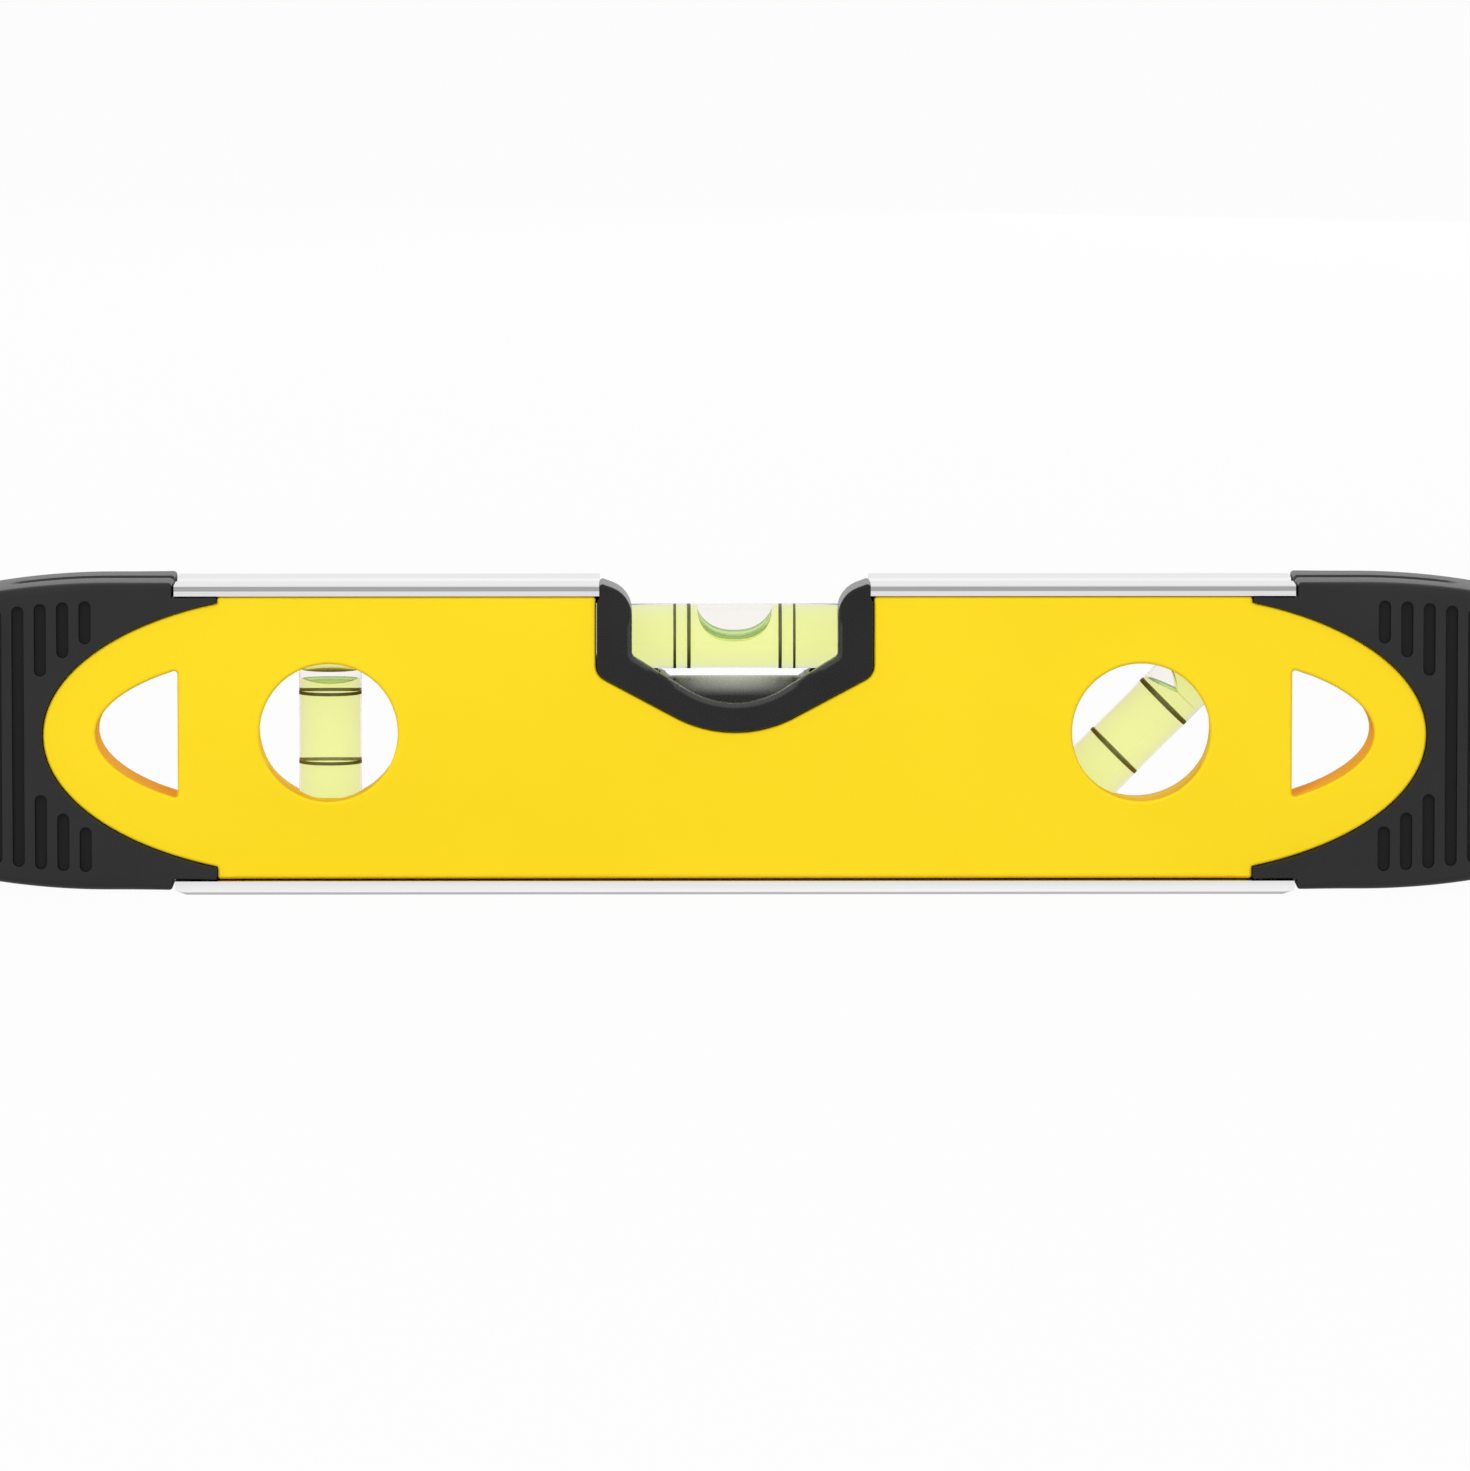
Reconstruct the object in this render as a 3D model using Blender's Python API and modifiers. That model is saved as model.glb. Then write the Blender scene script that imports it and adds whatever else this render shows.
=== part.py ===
"""Torpedo spirit level with a moulded body, grooved rails, end caps and three vials.

Metres, +Z up, +X along the level, the photographed face towards -Y.
The origin is on the base face, under the middle of the level.
"""

import math

import bmesh
import bpy
import numpy as np
from mathutils import Matrix

# Overall sizes
LEVEL_LENGTH = 0.2300
LEVEL_DEPTH = 0.0220
LEVEL_HEIGHT = 0.0458

# Gaps between pieces
CLEARANCE = 0.0003
RAIL_GAP = 0.0002
BASE_GAP = 0.0005
PARTING_GAP = 0.0002
REBATE_GAP = 0.0002
FILL_GAP = 0.0001
OVERSHOOT = 0.0010
SNAP_DISTANCE = 1e-6
FAR_AWAY = 1.0

# Rails, one section for the top and one for the base
TOP_LIP = 0.0017
BASE_LIP = 0.0020
GROOVE_WIDTH = 0.0060
GROOVE_DEPTH = 0.0022
TROUGH_WALL = 0.0014
HOOK_OFFSET = 0.0052
HOOK_WALL = 0.0010
HOOK_DROP = 0.0029
HOOK_REACH = 0.0014
HOOK_SETBACK = 0.0130
RAIL_END_RUN = 0.0017
RAIL_END_RISE = 0.0006

# Body halves
FACE_RECESS = 0.0006
FACE_WALL = 0.0024
EDGE_WALL = 0.0022
NOSE_LENGTH = 0.0416
NOSE_OVERRUN = 0.00045
NOSE_LIFT = 0.0004
NOSE_FLANGE = 0.0022
FLANGE_THICKNESS = 0.0040
FLANGE_SWEEP = 50.0
FLANGE_SLOT_EASE = 2.0
SIGHT_DIAMETER = 0.0204
SIGHT_LIFT = 0.00075
SIGHT_SHIFT = 0.0006
SIGHT_RELIEF = 0.0012
SWELL_HEIGHT = 0.0005
SWELL_HALF_LENGTH = 0.0200
SWELL_HALF_HEIGHT = 0.0160
SWELL_SKIRT = 0.0020
HANG_END_MARGIN = 0.0078
HANG_SIDE_MARGIN = 0.0091
HANG_LENGTH = 0.0121
HANG_CORNER = 0.0008
BOSS_WALL = 0.0020
PEG_DIAMETER = 0.0030
PEG_LENGTH = 0.0040
PEG_SPREAD = 0.0370
PEG_EDGE = 0.0085

# End caps
CAP_LENGTH = 0.03225
CAP_PROUD = 0.00045
CAP_SHY = 0.00067
CAP_END_WALL = 0.0128
CAP_TAPER_LENGTH = 0.0225
CAP_TAPER_RADIUS = 0.1080
CAP_CORNER = 0.0045
CAP_EDGE_ROUND = 0.0009
TONGUE_REACH = 0.0063
CAP_GROOVE_END = 0.0081
SLOT_WIDTH = 0.0017
SLOT_PITCH = 0.0033
SLOT_DEPTH = 0.0006
SLOT_FIRST = 0.0059
SLOT_END_MARGIN = 0.0027
SLOT_NOSE_MARGIN = 0.0045
LONG_SLOTS = 2
SHORT_SLOTS = 3

# Window bezel, depths measured down from the top face
BEZEL_HALF_WIDTH = 0.0204
BEZEL_WALL = 0.0047
BEZEL_BOTTOM = 0.0217
BEZEL_OUTER_RADIUS = 0.0185
BEZEL_OUTER_SLOPE = 28.1
BEZEL_OUTER_CORNER = 0.0025
BEZEL_INNER_BOTTOM = 0.0175
BEZEL_INNER_RADIUS = 0.0137
BEZEL_INNER_SLOPE = 32.0
BEZEL_INNER_CORNER = 0.0010
BEZEL_FLANGE = 0.0010
BEZEL_FLANGE_THICKNESS = 0.0016
BEZEL_RIM = 0.0028
BEZEL_EDGE_ROUND = 0.0006
SHOULDER_PROUD = 0.0004
SHOULDER_SLOPE = 25.0
SHOULDER_ROUND = 0.0020
SADDLE_DEPTH = 0.0143
SADDLE_RADIUS = 0.0090
BEZEL_PEG_DIAMETER = 0.0022
BEZEL_PEG_LENGTH = 0.0030
BEZEL_PEG_SPREAD = 0.0100
BEZEL_PEG_RISE = 0.0030

# Vials
VIAL_DROP = 0.0084
CENTRE_DIAMETER = 0.0096
CENTRE_SEAT = 0.0029
CENTRE_INNER_LINES = 0.0136
CENTRE_OUTER_LINES = 0.0178
CENTRE_INNER_WIDTH = 0.0006
CENTRE_OUTER_WIDTH = 0.0004
CENTRE_BUBBLE_LENGTH = 0.0113
CENTRE_BUBBLE_SINK = 0.0003
CENTRE_BUBBLE_ROUND = 0.0028
SIDE_DIAMETER = 0.0093
SIDE_LENGTH = 0.0310
SIDE_LINES = 0.0103
SIDE_LINE_WIDTH = 0.0005
SIDE_BUBBLE_LENGTH = 0.0072
TUBE_WALL = 0.0021
TUBE_END_WALL = 0.0018
TUBE_END_ROUND = 0.0004
PLUG_LENGTH = 0.0018
BARREL_RISE = 0.00015
LINE_DEPTH = 0.0003
BUBBLE_GAP = 0.0002
BUBBLE_DOME = 0.0012

# Facets of round forms
TUBE_FACETS = 18
PEG_FACETS = 10
NOSE_FACETS = 24
HOLE_FACETS = 32
CORNER_FACETS = 3
SLOT_FACETS = 4
ARC_FACETS = 8
SWELL_RINGS = 3
BORE_RINGS = 5
RIM_FACETS = 2
SHARP_ANGLE = 45
SMOOTH_ANGLE = 30
FLAT_ANGLE = 0.1

# Places that follow from the sizes above
HALF_LENGTH = LEVEL_LENGTH / 2
HALF_DEPTH = LEVEL_DEPTH / 2
FACE_DEPTH = HALF_DEPTH - FACE_RECESS
PARTING = PARTING_GAP / 2
RAIL_HALF = HALF_LENGTH - CAP_LENGTH
BODY_TOP = LEVEL_HEIGHT - TOP_LIP - RAIL_GAP
BODY_BOTTOM = BASE_LIP + BASE_GAP
BODY_MIDDLE = (BODY_TOP + BODY_BOTTOM) / 2
NOSE_X = HALF_LENGTH - CAP_END_WALL - NOSE_LENGTH
NOSE_Z = BODY_MIDDLE + NOSE_LIFT
NOSE_HALF = (BODY_TOP - BODY_BOTTOM) / 2 + NOSE_OVERRUN
TONGUE_TIP = RAIL_HALF - TONGUE_REACH
SIGHT_X = NOSE_X - SIGHT_SHIFT
SIGHT_Z = BODY_MIDDLE + SIGHT_LIFT
CAP_TOP = LEVEL_HEIGHT + CAP_PROUD
CAP_BOTTOM = CAP_SHY
VIAL_Z = LEVEL_HEIGHT - VIAL_DROP
BEZEL_INNER_HALF = BEZEL_HALF_WIDTH - BEZEL_WALL
CENTRE_LENGTH = 2 * (BEZEL_INNER_HALF + CENTRE_SEAT)
TOP_RAIL_START = BEZEL_HALF_WIDTH + CLEARANCE
GROOVE_SLOPE = GROOVE_DEPTH / (GROOVE_WIDTH / 2)


def new_collection(name):
    collection = bpy.data.collections.new(name)
    bpy.context.scene.collection.children.link(collection)
    return collection


for old in list(bpy.data.objects):
    bpy.data.objects.remove(old, do_unlink=True)

LEVEL = new_collection("spirit_level")
CUTTERS = new_collection("cutters")


def finish(name, colour, roughness, metallic=0.0, alpha=1.0):
    """A Principled material with one colour."""
    material = bpy.data.materials.new(name)
    material.use_nodes = True
    shader = material.node_tree.nodes["Principled BSDF"]
    shader.inputs["Base Color"].default_value = (*colour, 1.0)
    shader.inputs["Roughness"].default_value = roughness
    shader.inputs["Metallic"].default_value = metallic
    shader.inputs["Alpha"].default_value = alpha
    return material


YELLOW = finish("yellow_moulding", (0.98, 0.66, 0.02), 0.35)
BLACK_CAP = finish("black_grip", (0.028, 0.028, 0.028), 0.55)
BLACK_BEZEL = finish("black_moulding", (0.026, 0.026, 0.026), 0.45)
ALUMINIUM = finish("aluminium", (0.86, 0.86, 0.86), 0.25, metallic=1.0)
CLEAR = finish("clear_acrylic", (0.95, 0.97, 0.92), 0.05, alpha=0.25)
LIQUID = finish("vial_liquid", (0.80, 0.90, 0.30), 0.05, alpha=0.6)
AIR = finish("bubble_air", (0.90, 0.88, 0.86), 0.05, alpha=0.4)
INK = finish("line_ink", (0.06, 0.07, 0.02), 0.5)


# Outlines: lists of points in a plane, taken anticlockwise

def arc(centre, radii, start, end, facets):
    """Points along an ellipse arc between two angles in degrees."""
    angles = np.radians(np.linspace(start, end, facets + 1))
    return [
        (centre[0] + radii[0] * math.cos(angle), centre[1] + radii[1] * math.sin(angle))
        for angle in angles
    ]


def circle(centre, radius, facets):
    """Points round a circle, set so that a flat facet faces each axis."""
    start = 180 / facets
    return arc(centre, (radius, radius), start, start + 360, facets)[:-1]


def box_outline(low, high):
    return [(low[0], low[1]), (high[0], low[1]), (high[0], high[1]), (low[0], high[1])]


def slot_outline(centre_x, low, high, width):
    """A slot along the second axis with round ends."""
    radius = width / 2
    radii = (radius, radius)
    top = arc((centre_x, high - radius), radii, 0, 180, SLOT_FACETS)
    bottom = arc((centre_x, low + radius), radii, 180, 360, SLOT_FACETS)
    return top + bottom


def grown(outline, distance):
    """The closed outline moved outwards by a distance, with mitred corners."""
    points = np.array(outline)
    after = np.roll(points, -1, axis=0) - points
    normals = np.column_stack((after[:, 1], -after[:, 0]))
    normals /= np.linalg.norm(normals, axis=1)[:, None]
    earlier = np.roll(normals, 1, axis=0)
    mitre = (normals + earlier) / (1 + np.sum(normals * earlier, axis=1))[:, None]
    return [tuple(point) for point in points + distance * mitre]


def rounded(outline, radius, facets, corners):
    """The outline with the named corners replaced by tangent arcs."""
    points = [np.array(point) for point in outline]
    result = []
    for index, point in enumerate(points):
        if index not in corners:
            result.append(tuple(point))
            continue
        back = points[index - 1] - point
        ahead = points[(index + 1) % len(points)] - point
        back /= np.linalg.norm(back)
        ahead /= np.linalg.norm(ahead)
        half = math.acos(float(np.clip(back @ ahead, -1, 1))) / 2
        inward = (back + ahead) / np.linalg.norm(back + ahead)
        centre = point + inward * radius / math.sin(half)
        start = point + back * radius / math.tan(half) - centre
        end = point + ahead * radius / math.tan(half) - centre
        first = math.atan2(start[1], start[0])
        turn = math.atan2(start[0] * end[1] - start[1] * end[0], start @ end)
        for step in range(facets + 1):
            angle = first + turn * step / facets
            result.append((centre[0] + radius * math.cos(angle), centre[1] + radius * math.sin(angle)))
    return result


def mirrored(outline):
    """The outline seen in a mirror across the middle of the level, still anticlockwise."""
    return [(-x, z) for x, z in reversed(outline)]


def on_hand(outline, hand):
    return outline if hand > 0 else mirrored(outline)


# Solids

def weld(mesh):
    """Close the loose edges of a curve's mesh and merge its flat triangles."""
    shape = bmesh.new()
    shape.from_mesh(mesh)
    bmesh.ops.remove_doubles(shape, verts=shape.verts, dist=SNAP_DISTANCE)
    bmesh.ops.dissolve_limit(shape, angle_limit=math.radians(FLAT_ANGLE), verts=shape.verts, edges=shape.edges)
    bmesh.ops.recalc_face_normals(shape, faces=shape.faces)
    shape.to_mesh(mesh)
    shape.free()


def make_cutter(shape):
    """Keep a helper solid out of the finished level."""
    shape.hide_render = True
    shape.display_type = "WIRE"
    return shape


def prism(name, outlines, near, far, along="Y"):
    """Flat outlines carried from one depth to another, along Y from XZ or along X from YZ."""
    curve = bpy.data.curves.new(name, "CURVE")
    curve.dimensions = "2D"
    curve.fill_mode = "BOTH"
    curve.extrude = abs(far - near) / 2
    for outline in outlines:
        spline = curve.splines.new("POLY")
        spline.points.add(len(outline) - 1)
        for point, (across, up) in zip(spline.points, outline):
            point.co = (across, up, 0, 1)
        spline.use_cyclic_u = True
    guide = bpy.data.objects.new(name + "_outline", curve)
    CUTTERS.objects.link(guide)
    evaluated = guide.evaluated_get(bpy.context.evaluated_depsgraph_get())
    mesh = bpy.data.meshes.new_from_object(evaluated)
    bpy.data.objects.remove(guide)
    for vertex in mesh.vertices:
        across, up, height = vertex.co
        depth = near if height > 0 else far
        vertex.co = (across, depth, up) if along == "Y" else (depth, across, up)
    mesh.name = name
    weld(mesh)
    solid = bpy.data.objects.new(name, mesh)
    CUTTERS.objects.link(solid)
    return make_cutter(solid)


def turned(name, profile, frame):
    """A profile of radius and height, top to bottom, turned round the frame's Z axis."""
    mesh = bpy.data.meshes.new(name)
    points = [(radius, 0, height) for radius, height in profile]
    edges = [(index, index + 1) for index in range(len(points) - 1)]
    mesh.from_pydata(points, edges, [])
    solid = bpy.data.objects.new(name, mesh)
    CUTTERS.objects.link(solid)
    screw = solid.modifiers.new("turn", "SCREW")
    screw.steps = TUBE_FACETS
    screw.render_steps = TUBE_FACETS
    screw.use_merge_vertices = True
    screw.merge_threshold = SNAP_DISTANCE
    evaluated = solid.evaluated_get(bpy.context.evaluated_depsgraph_get())
    finished = bpy.data.meshes.new_from_object(evaluated)
    solid.modifiers.clear()
    shape = bmesh.new()
    shape.from_mesh(finished)
    bmesh.ops.remove_doubles(shape, verts=shape.verts, dist=SNAP_DISTANCE)
    bmesh.ops.recalc_face_normals(shape, faces=shape.faces)
    shape.to_mesh(mesh)
    shape.free()
    bpy.data.meshes.remove(finished)
    mesh.name = name
    solid.matrix_world = frame
    return make_cutter(solid)


def combine(solid, operation, tools):
    """Cut, join or intersect a solid with others, in order."""
    for tool in tools:
        modifier = solid.modifiers.new(tool.name, "BOOLEAN")
        modifier.operation = operation
        modifier.solver = "EXACT"
        modifier.object = tool
    return solid


def piece(solid, name, material):
    """Turn a helper solid into a named piece of the level."""
    solid.name = name
    solid.data.name = name
    solid.hide_render = False
    solid.display_type = "TEXTURED"
    CUTTERS.objects.unlink(solid)
    LEVEL.objects.link(solid)
    solid.data.materials.clear()
    solid.data.materials.append(material)
    solid.data.shade_smooth()
    solid.data.set_sharp_from_angle(angle=math.radians(SMOOTH_ANGLE))
    return solid


def round_rim(solid, distance, keep):
    """Round the edges that lie along the front and back outline and pass a test on their points."""
    shape = bmesh.new()
    shape.from_mesh(solid.data)
    chosen = []
    for edge in shape.edges:
        first, second = edge.verts
        level_edge = abs(first.co.y - second.co.y) < SNAP_DISTANCE
        sharp = len(edge.link_faces) == 2 and edge.calc_face_angle() > math.radians(SHARP_ANGLE)
        if level_edge and sharp and keep(first.co) and keep(second.co):
            chosen.append(edge)
    bmesh.ops.bevel(shape, geom=chosen, offset=distance, offset_type="OFFSET", segments=RIM_FACETS,
                    profile=0.5, affect="EDGES", clamp_overlap=True)
    shape.to_mesh(solid.data)
    shape.free()
    return solid


# Rails

def rail_outline(lip, level, up):
    """Section of a rail across the level: two lips with a V-shaped trough between them.

    Depths run from the working face, which is at the given level, into the body.
    """
    apex = GROOVE_DEPTH + TROUGH_WALL
    half = [
        (GROOVE_WIDTH / 2, 0.0),
        (HALF_DEPTH, 0.0),
        (HALF_DEPTH, lip),
        ((apex - lip) / GROOVE_SLOPE, lip),
    ]
    section = [(0.0, GROOVE_DEPTH)] + half + [(0.0, apex)]
    section += [(-y, depth) for y, depth in reversed(half)]
    return [(y, level - up * depth) for y, depth in section]


def hook_outlines(lip, level, up):
    """Sections of a rail's two hooks, each a leg with a foot that points outwards."""
    hook_outer = HOOK_OFFSET + HOOK_WALL
    foot = hook_outer + HOOK_REACH
    sole = lip + HOOK_DROP
    half = [
        (HOOK_OFFSET, lip / 2),
        (HOOK_OFFSET, sole),
        (foot, sole),
        (foot, sole - HOOK_WALL),
        (hook_outer, sole - HOOK_WALL),
        (hook_outer, lip / 2),
    ]
    return [[(side * y, level - up * depth) for y, depth in half] for side in (-1, 1)]


def end_relief_outline(end, inward, level, up):
    """Wedge that eases the lower corner of a rail's end."""
    return [
        (end - inward * OVERSHOOT, level + up * OVERSHOOT),
        (end + inward * RAIL_END_RUN, level + up * OVERSHOOT),
        (end + inward * RAIL_END_RUN, level),
        (end, level - up * RAIL_END_RISE),
        (end - inward * OVERSHOOT, level - up * RAIL_END_RISE),
    ]


def rail(name, start, end, lip, level, up, eased_ends):
    """A straight rail, with hooks that stop short of both ends."""
    strip = prism(name + "_strip", [rail_outline(lip, level, up)], start, end, along="X")
    hooks = hook_outlines(lip, level, up)
    run = (start + HOOK_SETBACK, end - HOOK_SETBACK)
    combine(strip, "UNION", [prism(name + "_hooks", hooks, run[0], run[1], along="X")])
    if eased_ends:
        wedges = [end_relief_outline(start, 1, level, up), end_relief_outline(end, -1, level, up)]
        combine(strip, "DIFFERENCE", [prism(name + "_relief", wedges, -LEVEL_DEPTH, LEVEL_DEPTH)])
    return piece(strip, name, ALUMINIUM)


def trough_cutter(name, start, end, lip, level, up):
    """Room in the body and caps for the trough under a rail's groove."""
    apex = GROOVE_DEPTH + TROUGH_WALL + CLEARANCE
    mouth = lip - OVERSHOOT
    half = (apex - mouth) / GROOVE_SLOPE
    outline = [
        (-half, level - up * mouth),
        (half, level - up * mouth),
        (0.0, level - up * apex),
    ]
    return prism(name + "_trough", [outline], start, end, along="X")


def hook_rooms(name, start, end, lip, level, up):
    """Room in a body half for a rail's hooks: a slot for the legs and a channel for the feet."""
    leg_outer = HOOK_OFFSET + HOOK_WALL + CLEARANCE
    foot_outer = HOOK_OFFSET + HOOK_WALL + HOOK_REACH + CLEARANCE
    sole = level - up * (lip + HOOK_DROP + CLEARANCE)
    instep = level - up * (lip + HOOK_DROP - HOOK_WALL - CLEARANCE)
    mouth = level - up * (lip - OVERSHOOT)
    legs = box_outline((-leg_outer, min(mouth, sole)), (leg_outer, max(mouth, sole)))
    feet = box_outline((-foot_outer, min(instep, sole)), (foot_outer, max(instep, sole)))
    return [
        prism(name + "_legs", [legs], start - CLEARANCE, end + CLEARANCE, along="X"),
        prism(name + "_feet", [feet], start - 2 * CLEARANCE, end + 2 * CLEARANCE, along="X"),
    ]


def rail_rooms(name):
    """Every cut that the rails need in the body: left, right and base."""
    runs = (
        ("left", -RAIL_HALF, -TOP_RAIL_START, TOP_LIP, LEVEL_HEIGHT, 1),
        ("right", TOP_RAIL_START, RAIL_HALF, TOP_LIP, LEVEL_HEIGHT, 1),
        ("base", -RAIL_HALF, RAIL_HALF, BASE_LIP, 0.0, -1),
    )
    rooms = []
    for place, start, end, lip, level, up in runs:
        first = start + HOOK_SETBACK
        last = end - HOOK_SETBACK
        rooms += hook_rooms(name + "_" + place, first, last, lip, level, up)
        rooms.append(trough_cutter(name + "_" + place, start - CLEARANCE, end + CLEARANCE, lip, level, up))
    return rooms


# Body halves

def nose_sweep(reach):
    """Angle on the nose ellipse where it stands at a given distance along the level."""
    return math.degrees(math.acos((reach - NOSE_X) / NOSE_LENGTH))


def bezel_curve(half_width, slope, bottom, radius, corner):
    """Right half of a U-shaped outline below its upright side: corner, slope and bottom arc."""
    angle = math.radians(slope)
    centre_z = bottom + radius
    tangent = (radius * math.sin(angle), centre_z - radius * math.cos(angle))
    elbow = (half_width, tangent[1] + (half_width - tangent[0]) * math.tan(angle))
    bend = rounded([(half_width, elbow[1] + FAR_AWAY), elbow, tangent], corner, CORNER_FACETS, {1})[1:-1]
    bowl = arc((0.0, centre_z), (radius, radius), slope - 90, -90, ARC_FACETS)
    return bend + bowl


def bezel_outer():
    """Outside of the bezel from its right elbow, down and round to its left elbow."""
    bottom = LEVEL_HEIGHT - BEZEL_BOTTOM
    right = bezel_curve(BEZEL_HALF_WIDTH, BEZEL_OUTER_SLOPE, bottom, BEZEL_OUTER_RADIUS, BEZEL_OUTER_CORNER)
    return right + [(-x, z) for x, z in reversed(right[:-1])]


def window_notch(distance, top):
    """Opening in the body round the bezel, from top right, down and up to top left."""
    bowl = bezel_outer()
    half = BEZEL_HALF_WIDTH
    closed = [(half, top + FAR_AWAY)] + bowl + [(-half, top + FAR_AWAY)]
    moved = grown(list(reversed(closed)), distance)
    notch = list(reversed(moved))[1:-1]
    edge = half + distance
    return [(edge, top)] + notch + [(-edge, top)]


def body_outline():
    """Outside of a body half: straight edges, elliptical noses and the notch for the window."""
    sweep = nose_sweep(TONGUE_TIP)
    nose = arc((NOSE_X, NOSE_Z), (NOSE_LENGTH, NOSE_HALF), -sweep, sweep, NOSE_FACETS)
    right = [(TONGUE_TIP, BODY_BOTTOM)] + nose + [(TONGUE_TIP, BODY_TOP)]
    left = mirrored(right)
    return right + window_notch(CLEARANCE - BEZEL_FLANGE, BODY_TOP) + left


def hang_outline():
    """Three-sided hang hole: an inner nose ellipse cut off by an upright side."""
    radii = (NOSE_LENGTH - HANG_END_MARGIN, NOSE_HALF - HANG_SIDE_MARGIN)
    upright = NOSE_X + radii[0] - HANG_LENGTH
    sweep = math.degrees(math.acos((upright - NOSE_X) / radii[0]))
    side = arc((NOSE_X, SIGHT_Z), radii, -sweep, sweep, NOSE_FACETS // 2)
    return rounded(side, HANG_CORNER, CORNER_FACETS, {0, len(side) - 1})


def nose_flange_outline(reach, sweep):
    """Crescent round the end of a nose, from inside the body out to the given reach."""
    root = EDGE_WALL / 2
    outer = arc((NOSE_X, NOSE_Z), (NOSE_LENGTH + reach, NOSE_HALF + reach), -sweep, sweep, ARC_FACETS * 2)
    inner = arc((NOSE_X, NOSE_Z), (NOSE_LENGTH - root, NOSE_HALF - root), sweep, -sweep, ARC_FACETS * 2)
    return outer + inner


def peg_places():
    """Locating pegs: two on each side of the window and one under it."""
    low = BODY_BOTTOM + PEG_EDGE
    high = BODY_TOP - PEG_EDGE
    return [(-PEG_SPREAD, low), (-PEG_SPREAD, high), (PEG_SPREAD, low), (PEG_SPREAD, high), (0.0, low)]


def side_frames():
    """Frames of the plumb and slanted vials, Z along the tube towards its bubble."""
    plumb = Matrix.Translation((-SIGHT_X, 0, SIGHT_Z))
    slant = Matrix.Translation((SIGHT_X, 0, SIGHT_Z)) @ Matrix.Rotation(math.radians(45), 4, "Y")
    return plumb, slant


def cradle_outline(frame):
    """Block that holds both ends of a side vial, as a rectangle along the tube."""
    half_width = SIDE_DIAMETER / 2 + CLEARANCE + BOSS_WALL
    half_length = SIDE_LENGTH / 2 + CLEARANCE + BOSS_WALL / 2
    corners = [(-half_width, -half_length), (half_width, -half_length),
               (half_width, half_length), (-half_width, half_length)]
    placed = [frame @ Matrix.Translation((x, 0, z)) for x, z in corners]
    return [(corner.translation.x, corner.translation.z) for corner in placed]


def swell(name, hand, side):
    """Low dome on the face round a sight hole, cut from a large ball."""
    ball_radius = (SWELL_HALF_LENGTH ** 2 + SWELL_HEIGHT ** 2) / (2 * SWELL_HEIGHT)
    skirt = SWELL_HALF_LENGTH + SWELL_SKIRT
    profile = []
    for ring in range(SWELL_RINGS + 1):
        radius = skirt * ring / SWELL_RINGS
        height = math.sqrt(ball_radius ** 2 - radius ** 2) - ball_radius + SWELL_HEIGHT
        profile.append((radius, height))
    profile.append((skirt, -FACE_WALL / 2))
    profile.append((0.0, -FACE_WALL / 2))
    squeeze = Matrix.Diagonal((1.0, SWELL_HALF_HEIGHT / SWELL_HALF_LENGTH, 1.0, 1.0))
    turn = Matrix.Rotation(math.radians(-90 * side), 4, "X")
    place = Matrix.Translation((hand * SIGHT_X, side * FACE_DEPTH, SIGHT_Z))
    dome = turned(name, profile, Matrix.Identity(4))
    dome.data.transform(place @ turn @ squeeze)
    return dome


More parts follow.
